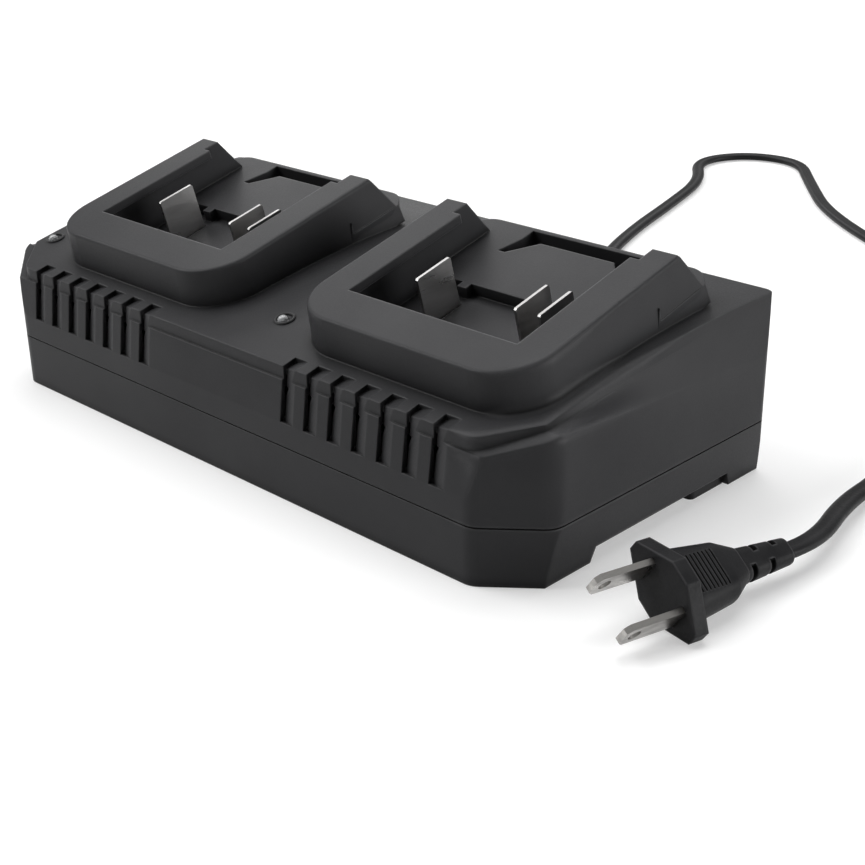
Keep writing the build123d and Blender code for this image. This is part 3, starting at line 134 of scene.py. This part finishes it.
# camera
camera = {
    "place": (0.29858, -0.26764, 0.17415),
    "turn": (65.7518, 0.8613, 44.4197),
    "lens": 62.28,
    "sensor": 36,
    "nearest": 0.01,
}
bpy.ops.object.camera_add(location=camera["place"])
viewCamera = bpy.context.object
viewCamera.rotation_euler = [math.radians(angle) for angle in camera["turn"]]
viewCamera.data.lens = camera["lens"]
viewCamera.data.sensor_width = camera["sensor"]
viewCamera.data.clip_start = camera["nearest"]
bpy.context.scene.camera = viewCamera
print("camera set")

# plastics: grained mouldings with soft edges, and plainer speckled ones
edgeShading = {
    "roundSamples": 8,
    "fullWearAndHighlight": 0.88,
    "hollowSamples": 6,
    "hollowFrom": 0.35,
    "hollowTo": 0.95,
}


def softEdges(tree, shader, look, base, grain):
    # rounded edges in the shading, the grain's bump on top of them, and a paler tone where an edge
    # turns, partly wear and partly a painted highlight
    rounded = tree.nodes.new("ShaderNodeBevel")
    rounded.samples = edgeShading["roundSamples"]
    rounded.inputs["Radius"].default_value = look["edgeRadius"]
    bump = bumpFrom(tree, shader, grain, look["grainStrength"], look["grainDepth"])
    tree.links.new(rounded.outputs["Normal"], bump.inputs["Normal"])
    surface = tree.nodes.new("ShaderNodeNewGeometry")
    turned = tree.nodes.new("ShaderNodeVectorMath")
    turned.operation = "DOT_PRODUCT"
    tree.links.new(rounded.outputs["Normal"], turned.inputs[0])
    tree.links.new(surface.outputs["True Normal"], turned.inputs[1])
    edge = mapRange(tree, turned.outputs["Value"], 1.0, edgeShading["fullWearAndHighlight"])
    # inner corners get no paler edge tone, and painted shade darkens them towards near black where the
    # ambient occlusion finds them enclosed
    hollow = tree.nodes.new("ShaderNodeAmbientOcclusion")
    hollow.samples = edgeShading["hollowSamples"]
    hollow.inputs["Distance"].default_value = look["hollowReach"]
    exposed = mapRange(tree, hollow.outputs["AO"], edgeShading["hollowFrom"], edgeShading["hollowTo"])
    # the paler edge tone is partly wear and partly a painted highlight
    wearAndHighlight = colorMix(tree, combine(tree, "MULTIPLY", edge.outputs["Result"], exposed.outputs["Result"]))
    tree.links.new(base, wearAndHighlight.inputs["A"])
    wearAndHighlight.inputs["B"].default_value = (*look["edgeWearAndHighlight"], 1)
    # painted shade: enclosed places are mixed towards the near black shade colour
    hollowShadeMix = colorMix(tree, exposed.outputs["Result"])
    hollowShadeMix.inputs["A"].default_value = (*look["paintedShade"], 1)
    tree.links.new(wearAndHighlight.outputs["Result"], hollowShadeMix.inputs["B"])
    tree.links.new(hollowShadeMix.outputs["Result"], shader.inputs["Base Color"])
    return rounded


def mouldedPlastic(name, look):
    # clouded colour, a fine grain that also varies the gloss, soft edges with a paler tone that is
    # partly wear and partly painted highlight, and painted shade in hollows
    material, tree, shader = newMaterial(name, look["dark"], look["rough"])
    shader.inputs["Specular IOR Level"].default_value = look["sheen"]
    tint = rampBetween(tree, noiseFrom(tree, look["cloud"]), look["dark"], look["light"])
    grain = noiseFrom(tree, look["grain"], look["grainDetail"])
    gloss = rampBetween(tree, grain, grey(look["smooth"]), grey(look["rough"]))
    tree.links.new(gloss, shader.inputs["Roughness"])
    rounded = softEdges(tree, shader, look, tint, grain)
    return material, tree, rounded


def speckledPlastic(name, look):
    # a tone that wavers between two near colours, with a bump where the look gives its depth
    material, tree, shader = newMaterial(name, look.get("base", look["low"]), look["roughness"])
    speckle = noiseFrom(tree, look["scale"], look.get("detail", 4.0))
    tint = rampBetween(tree, speckle, look["low"], look["high"])
    tree.links.new(tint, shader.inputs["Base Color"])
    if "grainDepth" in look:
        bumpFrom(tree, shader, speckle, look["grainStrength"], look["grainDepth"])
    return material


# housing
housing = {
    "dark": (0.031, 0.031, 0.033),
    "light": (0.041, 0.041, 0.043),
    # paler edge tone: wear, and a painted highlight along the edges
    "edgeWearAndHighlight": (0.075, 0.075, 0.078),
    # near black painted shade for enclosed places
    "paintedShade": (0.004, 0.004, 0.004),
    "hollowReach": 0.0032,
    "smooth": 0.38,
    "rough": 0.50,
    "sheen": 0.14,
    "cloud": 35.0,
    "grain": 2600.0,
    "grainDetail": 2.0,
    "grainStrength": 0.35,
    "grainDepth": 0.00006,
    "edgeRadius": 0.0007,
    "cornerRadius": 0.0042,
    "cornerSlant": (1.0, -0.35, 0.0),
    "cornerStart": 0.101,
    "cornerFull": 0.106,
    "skirtRadius": 0.0014,
    "skirtTop": 0.017,
    "wallStart": 0.024,
}
housingPlastic, tree, rounded = mouldedPlastic("housingPlastic", housing)
# the mould's upright end corners are rounder than its other edges, and less so down at the skirt
place = tree.nodes.new("ShaderNodeTexCoord")
slant = tree.nodes.new("ShaderNodeVectorMath")
slant.operation = "DOT_PRODUCT"
slant.inputs[1].default_value = housing["cornerSlant"]
tree.links.new(place.outputs["Object"], slant.inputs[0])
split = tree.nodes.new("ShaderNodeSeparateXYZ")
tree.links.new(place.outputs["Object"], split.inputs["Vector"])
height = mapRange(
    tree,
    split.outputs["Z"],
    housing["skirtTop"],
    housing["wallStart"],
    housing["skirtRadius"],
    housing["cornerRadius"],
)
corner = mapRange(
    tree,
    slant.outputs["Value"],
    housing["cornerStart"],
    housing["cornerFull"],
    housing["edgeRadius"],
)
tree.links.new(height.outputs["Result"], corner.inputs["To Max"])
tree.links.new(corner.outputs["Result"], rounded.inputs["Radius"])
dress(["upper_housing", "lower_housing"], housingPlastic)

# insulating blocks under the pockets, and the transformer's bobbin
insert = {
    "base": (0.02, 0.02, 0.021),
    "low": (0.017, 0.017, 0.018),
    "high": (0.026, 0.026, 0.027),
    "roughness": 0.45,
    "scale": 900.0,
    "detail": 2.0,
    "grainStrength": 0.2,
    "grainDepth": 0.00004,
}
insertPlastic = speckledPlastic("insertPlastic", insert)
dress(["terminal_block_left", "terminal_block_right", "transformer_bobbin"], insertPlastic)
print("housing dressed")

# metals: streaks change the tint, the gloss or both
metalLooks = {
    "contactMetal": {
        "nodes": [name for name in nodes if name.startswith("contact_")] + ["fuse_clips"],
        "base": (0.76, 0.75, 0.74),
        "roughness": 0.28,
        "scale": 240.0,
        "detail": 3.0,
        "stretch": (1.0, 0.12, 1.0),
        "tint": ((0.46, 0.455, 0.45), (0.76, 0.75, 0.74)),
        "gloss": (0.38, 0.24),
    },
    "bladeMetal": {
        "nodes": ["plug_blade_a", "plug_blade_b"],
        "base": (0.37, 0.36, 0.345),
        "roughness": 0.3,
        "scale": 500.0,
        "detail": 4.0,
        "stretch": (1.0, 0.2, 1.0),
        "tint": ((0.29, 0.28, 0.27), (0.46, 0.45, 0.43)),
        "gloss": (0.42, 0.25),
    },
    "screwSteel": {
        "nodes": ["housing_screws", "board_screws"],
        "base": (0.5, 0.5, 0.5),
        "roughness": 0.35,
        "scale": 800.0,
        "detail": 4.0,
        "gloss": (0.3, 0.5),
    },
    "sinkMetal": {
        "nodes": ["mains_heat_sink", "output_heat_sink"],
        "base": (0.75, 0.76, 0.77),
        "roughness": 0.4,
        "scale": 300.0,
        "detail": 3.0,
        "stretch": (1.0, 1.0, 0.08),
        "tint": ((0.62, 0.63, 0.64), (0.8, 0.81, 0.82)),
    },
}
for name, look in metalLooks.items():
    material, tree, shader = newMaterial(name, look["base"], look["roughness"], 1.0)
    streaks = noiseFrom(tree, look["scale"], look["detail"], look.get("stretch"))
    if "tint" in look:
        dull, bright = look["tint"]
        tree.links.new(rampBetween(tree, streaks, dull, bright), shader.inputs["Base Color"])
    if "gloss" in look:
        low, high = look["gloss"]
        tree.links.new(rampBetween(tree, streaks, grey(low), grey(high)), shader.inputs["Roughness"])
    dress(look["nodes"], material)
print("metals dressed")

# parts on the board
innerLooks = {
    "boardLaminate": {
        "nodes": ["circuit_board"],
        "low": (0.02, 0.14, 0.06),
        "high": (0.04, 0.22, 0.10),
        "scale": 180.0,
        "roughness": 0.35,
    },
    "ferriteGrey": {
        "nodes": ["transformer_core", "choke_core"],
        "low": (0.05, 0.05, 0.05),
        "high": (0.10, 0.10, 0.10),
        "scale": 700.0,
        "roughness": 0.7,
    },
    "epoxyBlack": {
        "nodes": [
            "switching_transistor",
            "output_diode",
            "bridge_rectifier",
            "charge_controller_left",
            "charge_controller_right",
        ],
        "low": (0.015, 0.015, 0.015),
        "high": (0.03, 0.03, 0.03),
        "scale": 900.0,
        "roughness": 0.55,
    },
    "canSleeve": {
        "nodes": ["bulk_capacitor", "output_capacitor_a", "output_capacitor_b"],
        "low": (0.02, 0.03, 0.10),
        "high": (0.03, 0.05, 0.15),
        "scale": 120.0,
        "roughness": 0.25,
    },
    "fuseGlass": {
        "nodes": ["fuse"],
        "low": (0.6, 0.6, 0.58),
        "high": (0.75, 0.75, 0.72),
        "scale": 200.0,
        "roughness": 0.15,
    },
    "wireSleeve": {
        "nodes": [
            "mains_lead_live",
            "mains_lead_neutral",
            "output_leads_left",
            "output_leads_right",
            "light_leads_left",
            "light_leads_right",
        ],
        "low": (0.012, 0.012, 0.013),
        "high": (0.022, 0.022, 0.024),
        "scale": 300.0,
        "roughness": 0.4,
    },
}
for name, look in innerLooks.items():
    dress(look["nodes"], speckledPlastic(name, look))

winding = {
    "base": (0.45, 0.18, 0.06),
    # darker copper in the grooves between turns is painted shade, brighter copper on the crowns is
    # painted highlight
    "dark": (0.25, 0.08, 0.02),
    "bright": (0.55, 0.24, 0.09),
    "roughness": 0.3,
    "metallic": 0.8,
    "turns": 600.0,
    "turnDark": 0.1,
    "turnBright": 0.9,
    "grooveStrength": 0.5,
    "grooveDepth": 0.0002,
}
windingCopper, tree, shader = newMaterial(
    "windingCopper",
    winding["base"],
    winding["roughness"],
    winding["metallic"],
)
place = tree.nodes.new("ShaderNodeTexCoord")
turns = tree.nodes.new("ShaderNodeTexWave")
turns.bands_direction = "Z"
turns.inputs["Scale"].default_value = winding["turns"]
tree.links.new(place.outputs["Object"], turns.inputs["Vector"])
# the wave makes the copper darker in the grooves between the turns and paler on their crowns: painted
# shade and painted highlight
tint = rampBetween(
    tree,
    turns.outputs["Fac"],
    winding["dark"],
    winding["bright"],
    winding["turnDark"],
    winding["turnBright"],
)
tree.links.new(tint, shader.inputs["Base Color"])
bumpFrom(tree, shader, turns.outputs["Fac"], winding["grooveStrength"], winding["grooveDepth"])
dress(["transformer_winding", "choke_winding"], windingCopper)
print("board parts dressed")

# indicator lights
lens = {
    "color": (0.80, 0.81, 0.82),
    "roughness": 0.12,
    "clear": 0.55,
    "bending": 1.5,
    "haze": 900.0,
    "smooth": 0.08,
    "rough": 0.2,
}
lensClear, tree, shader = newMaterial("lensClear", lens["color"], lens["roughness"])
shader.inputs["Transmission Weight"].default_value = lens["clear"]
shader.inputs["IOR"].default_value = lens["bending"]
haze = noiseFrom(tree, lens["haze"])
gloss = rampBetween(tree, haze, grey(lens["smooth"]), grey(lens["rough"]))
tree.links.new(gloss, shader.inputs["Roughness"])
dress(["indicator_light_left", "indicator_light_right"], lensClear)

# rings are radius and height in millimetres, from the outer foot over the top to the inner foot
collar = {
    "rings": [(2.95, -0.2), (2.95, 0.25), (2.75, 0.50), (2.40, 0.50), (2.20, 0.25), (2.20, -0.2)],
    "sides": 48,
    "sideStep": 0.0055,
    "smoothAngle": 35,
    "low": (0.010, 0.010, 0.011),
    "high": (0.018, 0.018, 0.019),
    "roughness": 0.5,
    "scale": 1200.0,
    "detail": 2.0,
    "grainStrength": 0.25,
    "grainDepth": 0.00004,
}
collarPlastic = speckledPlastic("collarPlastic", collar)


def addCollar(name, lightName):
    # a low moulded ring round the lens, lying on the sloping deck
    nearCorner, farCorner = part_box(lightName)
    centre = (Vector(nearCorner) + Vector(farCorner)) / 2
    centre.z = farCorner[2]
    above = centre + Vector((0, -collar["sideStep"], collar["sideStep"]))
    _, spot, normal, _ = nodes["upper_housing"].ray_cast(above, Vector((0, 0, -1)))
    centre.z = spot.z - normal.dot(Vector((0, centre.y - spot.y, 0))) / normal.z
    clearSelection()
    radius, height = collar["rings"][0]
    bpy.ops.mesh.primitive_circle_add(vertices=collar["sides"], radius=radius * millimetre)
    ring = bpy.context.object
    ring.name = name
    bpy.ops.object.mode_set(mode="EDIT")
    bpy.ops.mesh.select_all(action="SELECT")
    bpy.ops.transform.translate(value=(0, 0, height * millimetre))
    for nextRadius, nextHeight in collar["rings"][1:]:
        rise = (0, 0, (nextHeight - height) * millimetre)
        bpy.ops.mesh.extrude_region_move(TRANSFORM_OT_translate={"value": rise})
        scale = nextRadius / radius
        bpy.ops.transform.resize(value=(scale, scale, 1))
        radius, height = nextRadius, nextHeight
    bpy.ops.mesh.select_all(action="SELECT")
    bpy.ops.mesh.normals_make_consistent(inside=False)
    bpy.ops.object.mode_set(mode="OBJECT")
    bpy.ops.object.shade_smooth_by_angle(angle=math.radians(collar["smoothAngle"]))
    ring.rotation_euler = normal.to_track_quat("Z", "Y").to_euler()
    ring.location = centre
    bpy.ops.object.transform_apply(location=True, rotation=True, scale=True)
    ring.data.materials.append(collarPlastic)
    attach(ring, "root")


addCollar("lightCollarLeft", "indicator_light_left")
addCollar("lightCollarRight", "indicator_light_right")
print("indicator lights done")

# cord, in millimetres and degrees
cord = {
    "width": 5.2,
    "coreRadius": 1.36,
    "corePoints": 9,
    "coreArc": 250,
    "smoothAngle": 50,
    "curveOrder": 3,
    "curveSteps": 8,
    "coilCentre": (118.0, 182.0),
    "outerTurn": 32.9,
    "innerTurn": 27.6,
    "layers": (1.5, 4.4, 7.3),
    "pointsPerTurn": 12,
    "pointsPerChange": 3,
    "startAngle": 96.0,
    "turns": 4,
    "lastPoints": 4,
}
firstStretch = [
    (1.0, 81.25, 15.0),
    (1.0, 104.0, 15.0),
    (-10.0, 132.0, 1.5),
    (-36.0, 162.0, 1.5),
    (-50.0, 198.0, 1.5),
    (-62.0, 240.0, 1.5),
    (-74.5, 279.2, 1.5),
    (-96.4, 306.9, 1.5),
    (-86.0, 332.4, 1.5),
    (-58.9, 336.5, 1.5),
    (-37.9, 309.4, 1.5),
    (-2.4, 266.8, 1.5),
    (70.4, 221.8, 1.5),
]
lastStretch = [
    (146.5, 141.5, 1.5),
    (133.5, 102.0, 1.5),
    (129.3, 83.3, 1.5),
    (135.4, 63.1, 2.0),
    (138.0, 37.7, 4.4),
    (144.74, 14.51, 5.64),
    (142.65, 3.73, 6.31),
]


def coilPoints():
    # four turns and the start of a fifth; each change of radius or layer takes a quarter turn
    low, middle, high = cord["layers"]
    outer, inner = cord["outerTurn"], cord["innerTurn"]
    stages = [(outer, low), (inner, low), (inner, middle), (outer, middle), (outer, high)]
    points = []
    step = 360.0 / cord["pointsPerTurn"]
    pull = math.cos(math.radians(step / 2))
    for turn, (radius, height) in enumerate(stages):
        before = stages[turn - 1] if turn else stages[0]
        count = cord["pointsPerTurn"] if turn < cord["turns"] else cord["lastPoints"]
        for number in range(count):
            share = min(1.0, number / cord["pointsPerChange"])
            nowRadius = before[0] + (radius - before[0]) * share
            nowHeight = before[1] + (height - before[1]) * share
            angle = math.radians(cord["startAngle"] - step * (turn * cord["pointsPerTurn"] + number))
            x = cord["coilCentre"][0] + nowRadius / pull * math.cos(angle)
            y = cord["coilCentre"][1] + nowRadius / pull * math.sin(angle)
            points.append((x, y, nowHeight))
    return points


def nurbsLine(name, points):
    curve = bpy.data.curves.new(name, "CURVE")
    curve.dimensions = "3D"
    curve.resolution_u = cord["curveSteps"]
    spline = curve.splines.new("NURBS")
    spline.points.add(len(points) - 1)
    for point, place in zip(spline.points, points):
        point.co = (*[value * millimetre for value in place], 1)
    spline.order_u = cord["curveOrder"]
    spline.use_endpoint_u = True
    line = bpy.data.objects.new(name, curve)
    bpy.context.collection.objects.link(line)
    return line


def linePoints(line):
    # the smooth line's own points, in order
    bpy.context.view_layer.update()
    mesh = bpy.data.meshes.new_from_object(line.evaluated_get(bpy.context.evaluated_depsgraph_get()))
    points = [vertex.co.copy() for vertex in mesh.vertices]
    bpy.data.meshes.remove(mesh)
    return points


def twinProfile():
    # two round cores side by side, open towards each other, so that a groove lies between them
    radius = cord["coreRadius"] * millimetre
    reach = (cord["width"] / 2 - cord["coreRadius"]) * millimetre
    profile = []
    for side in (1, -1):
        for number in range(cord["corePoints"]):
            turned = number * cord["coreArc"] / (cord["corePoints"] - 1)
            angle = math.radians(turned - cord["coreArc"] / 2)
            profile.append((side * (reach + radius * math.cos(angle)), side * radius * math.sin(angle)))
    return profile


def twinTube(name, points):
    # the profile carried along the points with its wide side level, and closed at both ends
    profile = twinProfile()
    count = len(profile)
    vertices = []
    for number, point in enumerate(points):
        ahead = points[min(number + 1, len(points) - 1)] - points[max(number - 1, 0)]
        ahead.normalize()
        across = Vector((ahead.y, -ahead.x, 0)).normalized()
        upward = across.cross(ahead)
        vertices += [point + across * a + upward * b for a, b in profile]
    faces = []
    for ring in range(len(points) - 1):
        for number in range(count):
            following = (number + 1) % count
            faces.append((
                ring * count + number,
                ring * count + following,
                (ring + 1) * count + following,
                (ring + 1) * count + number,
            ))
    faces.append(tuple(range(count))[::-1])
    faces.append(tuple(range((len(points) - 1) * count, len(points) * count)))
    mesh = bpy.data.meshes.new(name)
    mesh.from_pydata([tuple(vertex) for vertex in vertices], [], faces)
    tube = bpy.data.objects.new(name, mesh)
    bpy.context.collection.objects.link(tube)
    clearSelection()
    tube.select_set(True)
    bpy.context.view_layer.objects.active = tube
    bpy.ops.object.mode_set(mode="EDIT")
    bpy.ops.mesh.select_all(action="SELECT")
    bpy.ops.mesh.normals_make_consistent(inside=False)
    bpy.ops.object.mode_set(mode="OBJECT")
    bpy.ops.object.shade_smooth_by_angle(angle=math.radians(cord["smoothAngle"]))
    return tube


cordLine = nurbsLine("cordLine", firstStretch + coilPoints() + lastStretch)
cordPath = linePoints(cordLine)
bpy.data.objects.remove(cordLine)
mainsCord = twinTube("mainsCord", cordPath)

cordLook = {
    "base": (0.014, 0.014, 0.015),
    "dark": (0.011, 0.011, 0.012),
    "light": (0.020, 0.020, 0.021),
    "roughness": 0.48,
    "smooth": 0.36,
    "rough": 0.5,
    "sheen": 0.14,
    "smudge": 90.0,
    "grain": 1500.0,
    "grainDetail": 2.0,
    "grainStrength": 0.25,
    "grainDepth": 0.00005,
}
cordSkin, tree, shader = newMaterial("cordSkin", cordLook["base"], cordLook["roughness"])
shader.inputs["Specular IOR Level"].default_value = cordLook["sheen"]
tint = rampBetween(tree, noiseFrom(tree, cordLook["smudge"]), cordLook["dark"], cordLook["light"])
tree.links.new(tint, shader.inputs["Base Color"])
grain = noiseFrom(tree, cordLook["grain"], cordLook["grainDetail"])
gloss = rampBetween(tree, grain, grey(cordLook["smooth"]), grey(cordLook["rough"]))
tree.links.new(gloss, shader.inputs["Roughness"])
bumpFrom(tree, shader, grain, cordLook["grainStrength"], cordLook["grainDepth"])
mainsCord.data.materials.append(cordSkin)

plugLook = {
    "dark": (0.010, 0.010, 0.011),
    "light": (0.020, 0.020, 0.021),
    # paler edge tone: wear, and a painted highlight along the edges
    "edgeWearAndHighlight": (0.045, 0.045, 0.047),
    # near black painted shade for enclosed places
    "paintedShade": (0.003, 0.003, 0.003),
    "smooth": 0.40,
    "rough": 0.55,
    "sheen": 0.12,
    "cloud": 120.0,
    "grain": 1800.0,
    "grainDetail": 2.0,
    "grainStrength": 0.35,
    "grainDepth": 0.00006,
    "edgeRadius": 0.0010,
    "hollowReach": 0.0025,
}
plugSkin = mouldedPlastic("plugSkin", plugLook)[0]
dress(["plug_body", "cord_gland"], plugSkin)
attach(mainsCord, "root")
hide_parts("power_cord", "plug_cord", "cord_coil")
print("cord done")

# floor, backdrop and lights
studio = {
    "floorSize": 8,
    "floorDrop": 0.0002,
    "floorRoughness": 0.9,
    "floorSeen": 0.60,
    "floorGlow": 0.43,
    "floorBounce": 0.40,
    "fill": 0.13,
    "backdropSheen": 0.32,
    "suns": [
        {"name": "topSun", "from": (-0.30, 0.45, 1.60), "strength": 1.8, "spread": 45.0},
        {"name": "frontSun", "from": (-0.83, -0.50, 0.95), "strength": 1.9, "spread": 40.0},
        {"name": "sideSun", "from": (0.90, 0.42, 0.18), "strength": 1.7, "spread": 30.0},
    ],
    "panel": {"place": (-0.60, 0.50, 0.42), "width": 0.5, "height": 0.4, "power": 1.1},
}
bpy.ops.mesh.primitive_plane_add(size=studio["floorSize"], location=(0, 0, -studio["floorDrop"]))
floor = bpy.context.object
floor.name = "studioFloor"
floorPaint, tree, shader = newMaterial("floorPaint", grey(studio["floorSeen"]), studio["floorRoughness"])
shader.inputs["Specular IOR Level"].default_value = 0.0
# the floor is paler to the camera and to gloss and glass than in the light it throws back
rays = tree.nodes.new("ShaderNodeLightPath")
glossOrCamera = combine(tree, "MAXIMUM", rays.outputs["Is Camera Ray"], rays.outputs["Is Glossy Ray"])
showsFloor = combine(tree, "MAXIMUM", glossOrCamera, rays.outputs["Is Transmission Ray"])
tone = colorMix(tree, showsFloor)
tone.inputs["A"].default_value = (*grey(studio["floorBounce"]), 1)
tone.inputs["B"].default_value = (*grey(studio["floorSeen"]), 1)
tree.links.new(tone.outputs["Result"], shader.inputs["Base Color"])
glow = mapRange(tree, showsFloor, 0.0, 1.0, 0.0, studio["floorGlow"])
shader.inputs["Emission Color"].default_value = (1, 1, 1, 1)
tree.links.new(glow.outputs["Result"], shader.inputs["Emission Strength"])
floor.data.materials.append(floorPaint)

world = bpy.data.worlds.new("studioWorld")
bpy.context.scene.world = world
world.use_nodes = True
sky = world.node_tree
background = sky.nodes["Background"]
background.inputs["Color"].default_value = (1, 1, 1, 1)
rays = sky.nodes.new("ShaderNodeLightPath")
seen = combine(sky, "MAXIMUM", rays.outputs["Is Camera Ray"], rays.outputs["Is Transmission Ray"])
sheen = mapRange(sky, rays.outputs["Is Glossy Ray"], 0.0, 1.0, studio["fill"], studio["backdropSheen"])
brightest = combine(sky, "MAXIMUM", seen, sheen.outputs["Result"])
sky.links.new(brightest, background.inputs["Strength"])


def aimAtOrigin(lamp, place):
    lamp.rotation_euler = Vector(place).to_track_quat("Z", "Y").to_euler()


for sun in studio["suns"]:
    bpy.ops.object.light_add(type="SUN", location=sun["from"])
    lamp = bpy.context.object
    lamp.name = sun["name"]
    lamp.data.energy = sun["strength"]
    lamp.data.angle = math.radians(sun["spread"])
    aimAtOrigin(lamp, sun["from"])
panel = studio["panel"]
bpy.ops.object.light_add(type="AREA", location=panel["place"])
lamp = bpy.context.object
lamp.name = "backPanel"
lamp.data.shape = "RECTANGLE"
lamp.data.size = panel["width"]
lamp.data.size_y = panel["height"]
lamp.data.energy = panel["power"]
aimAtOrigin(lamp, panel["place"])
lamp.visible_camera = False
bpy.context.scene.view_settings.view_transform = "Standard"
print("studio done")
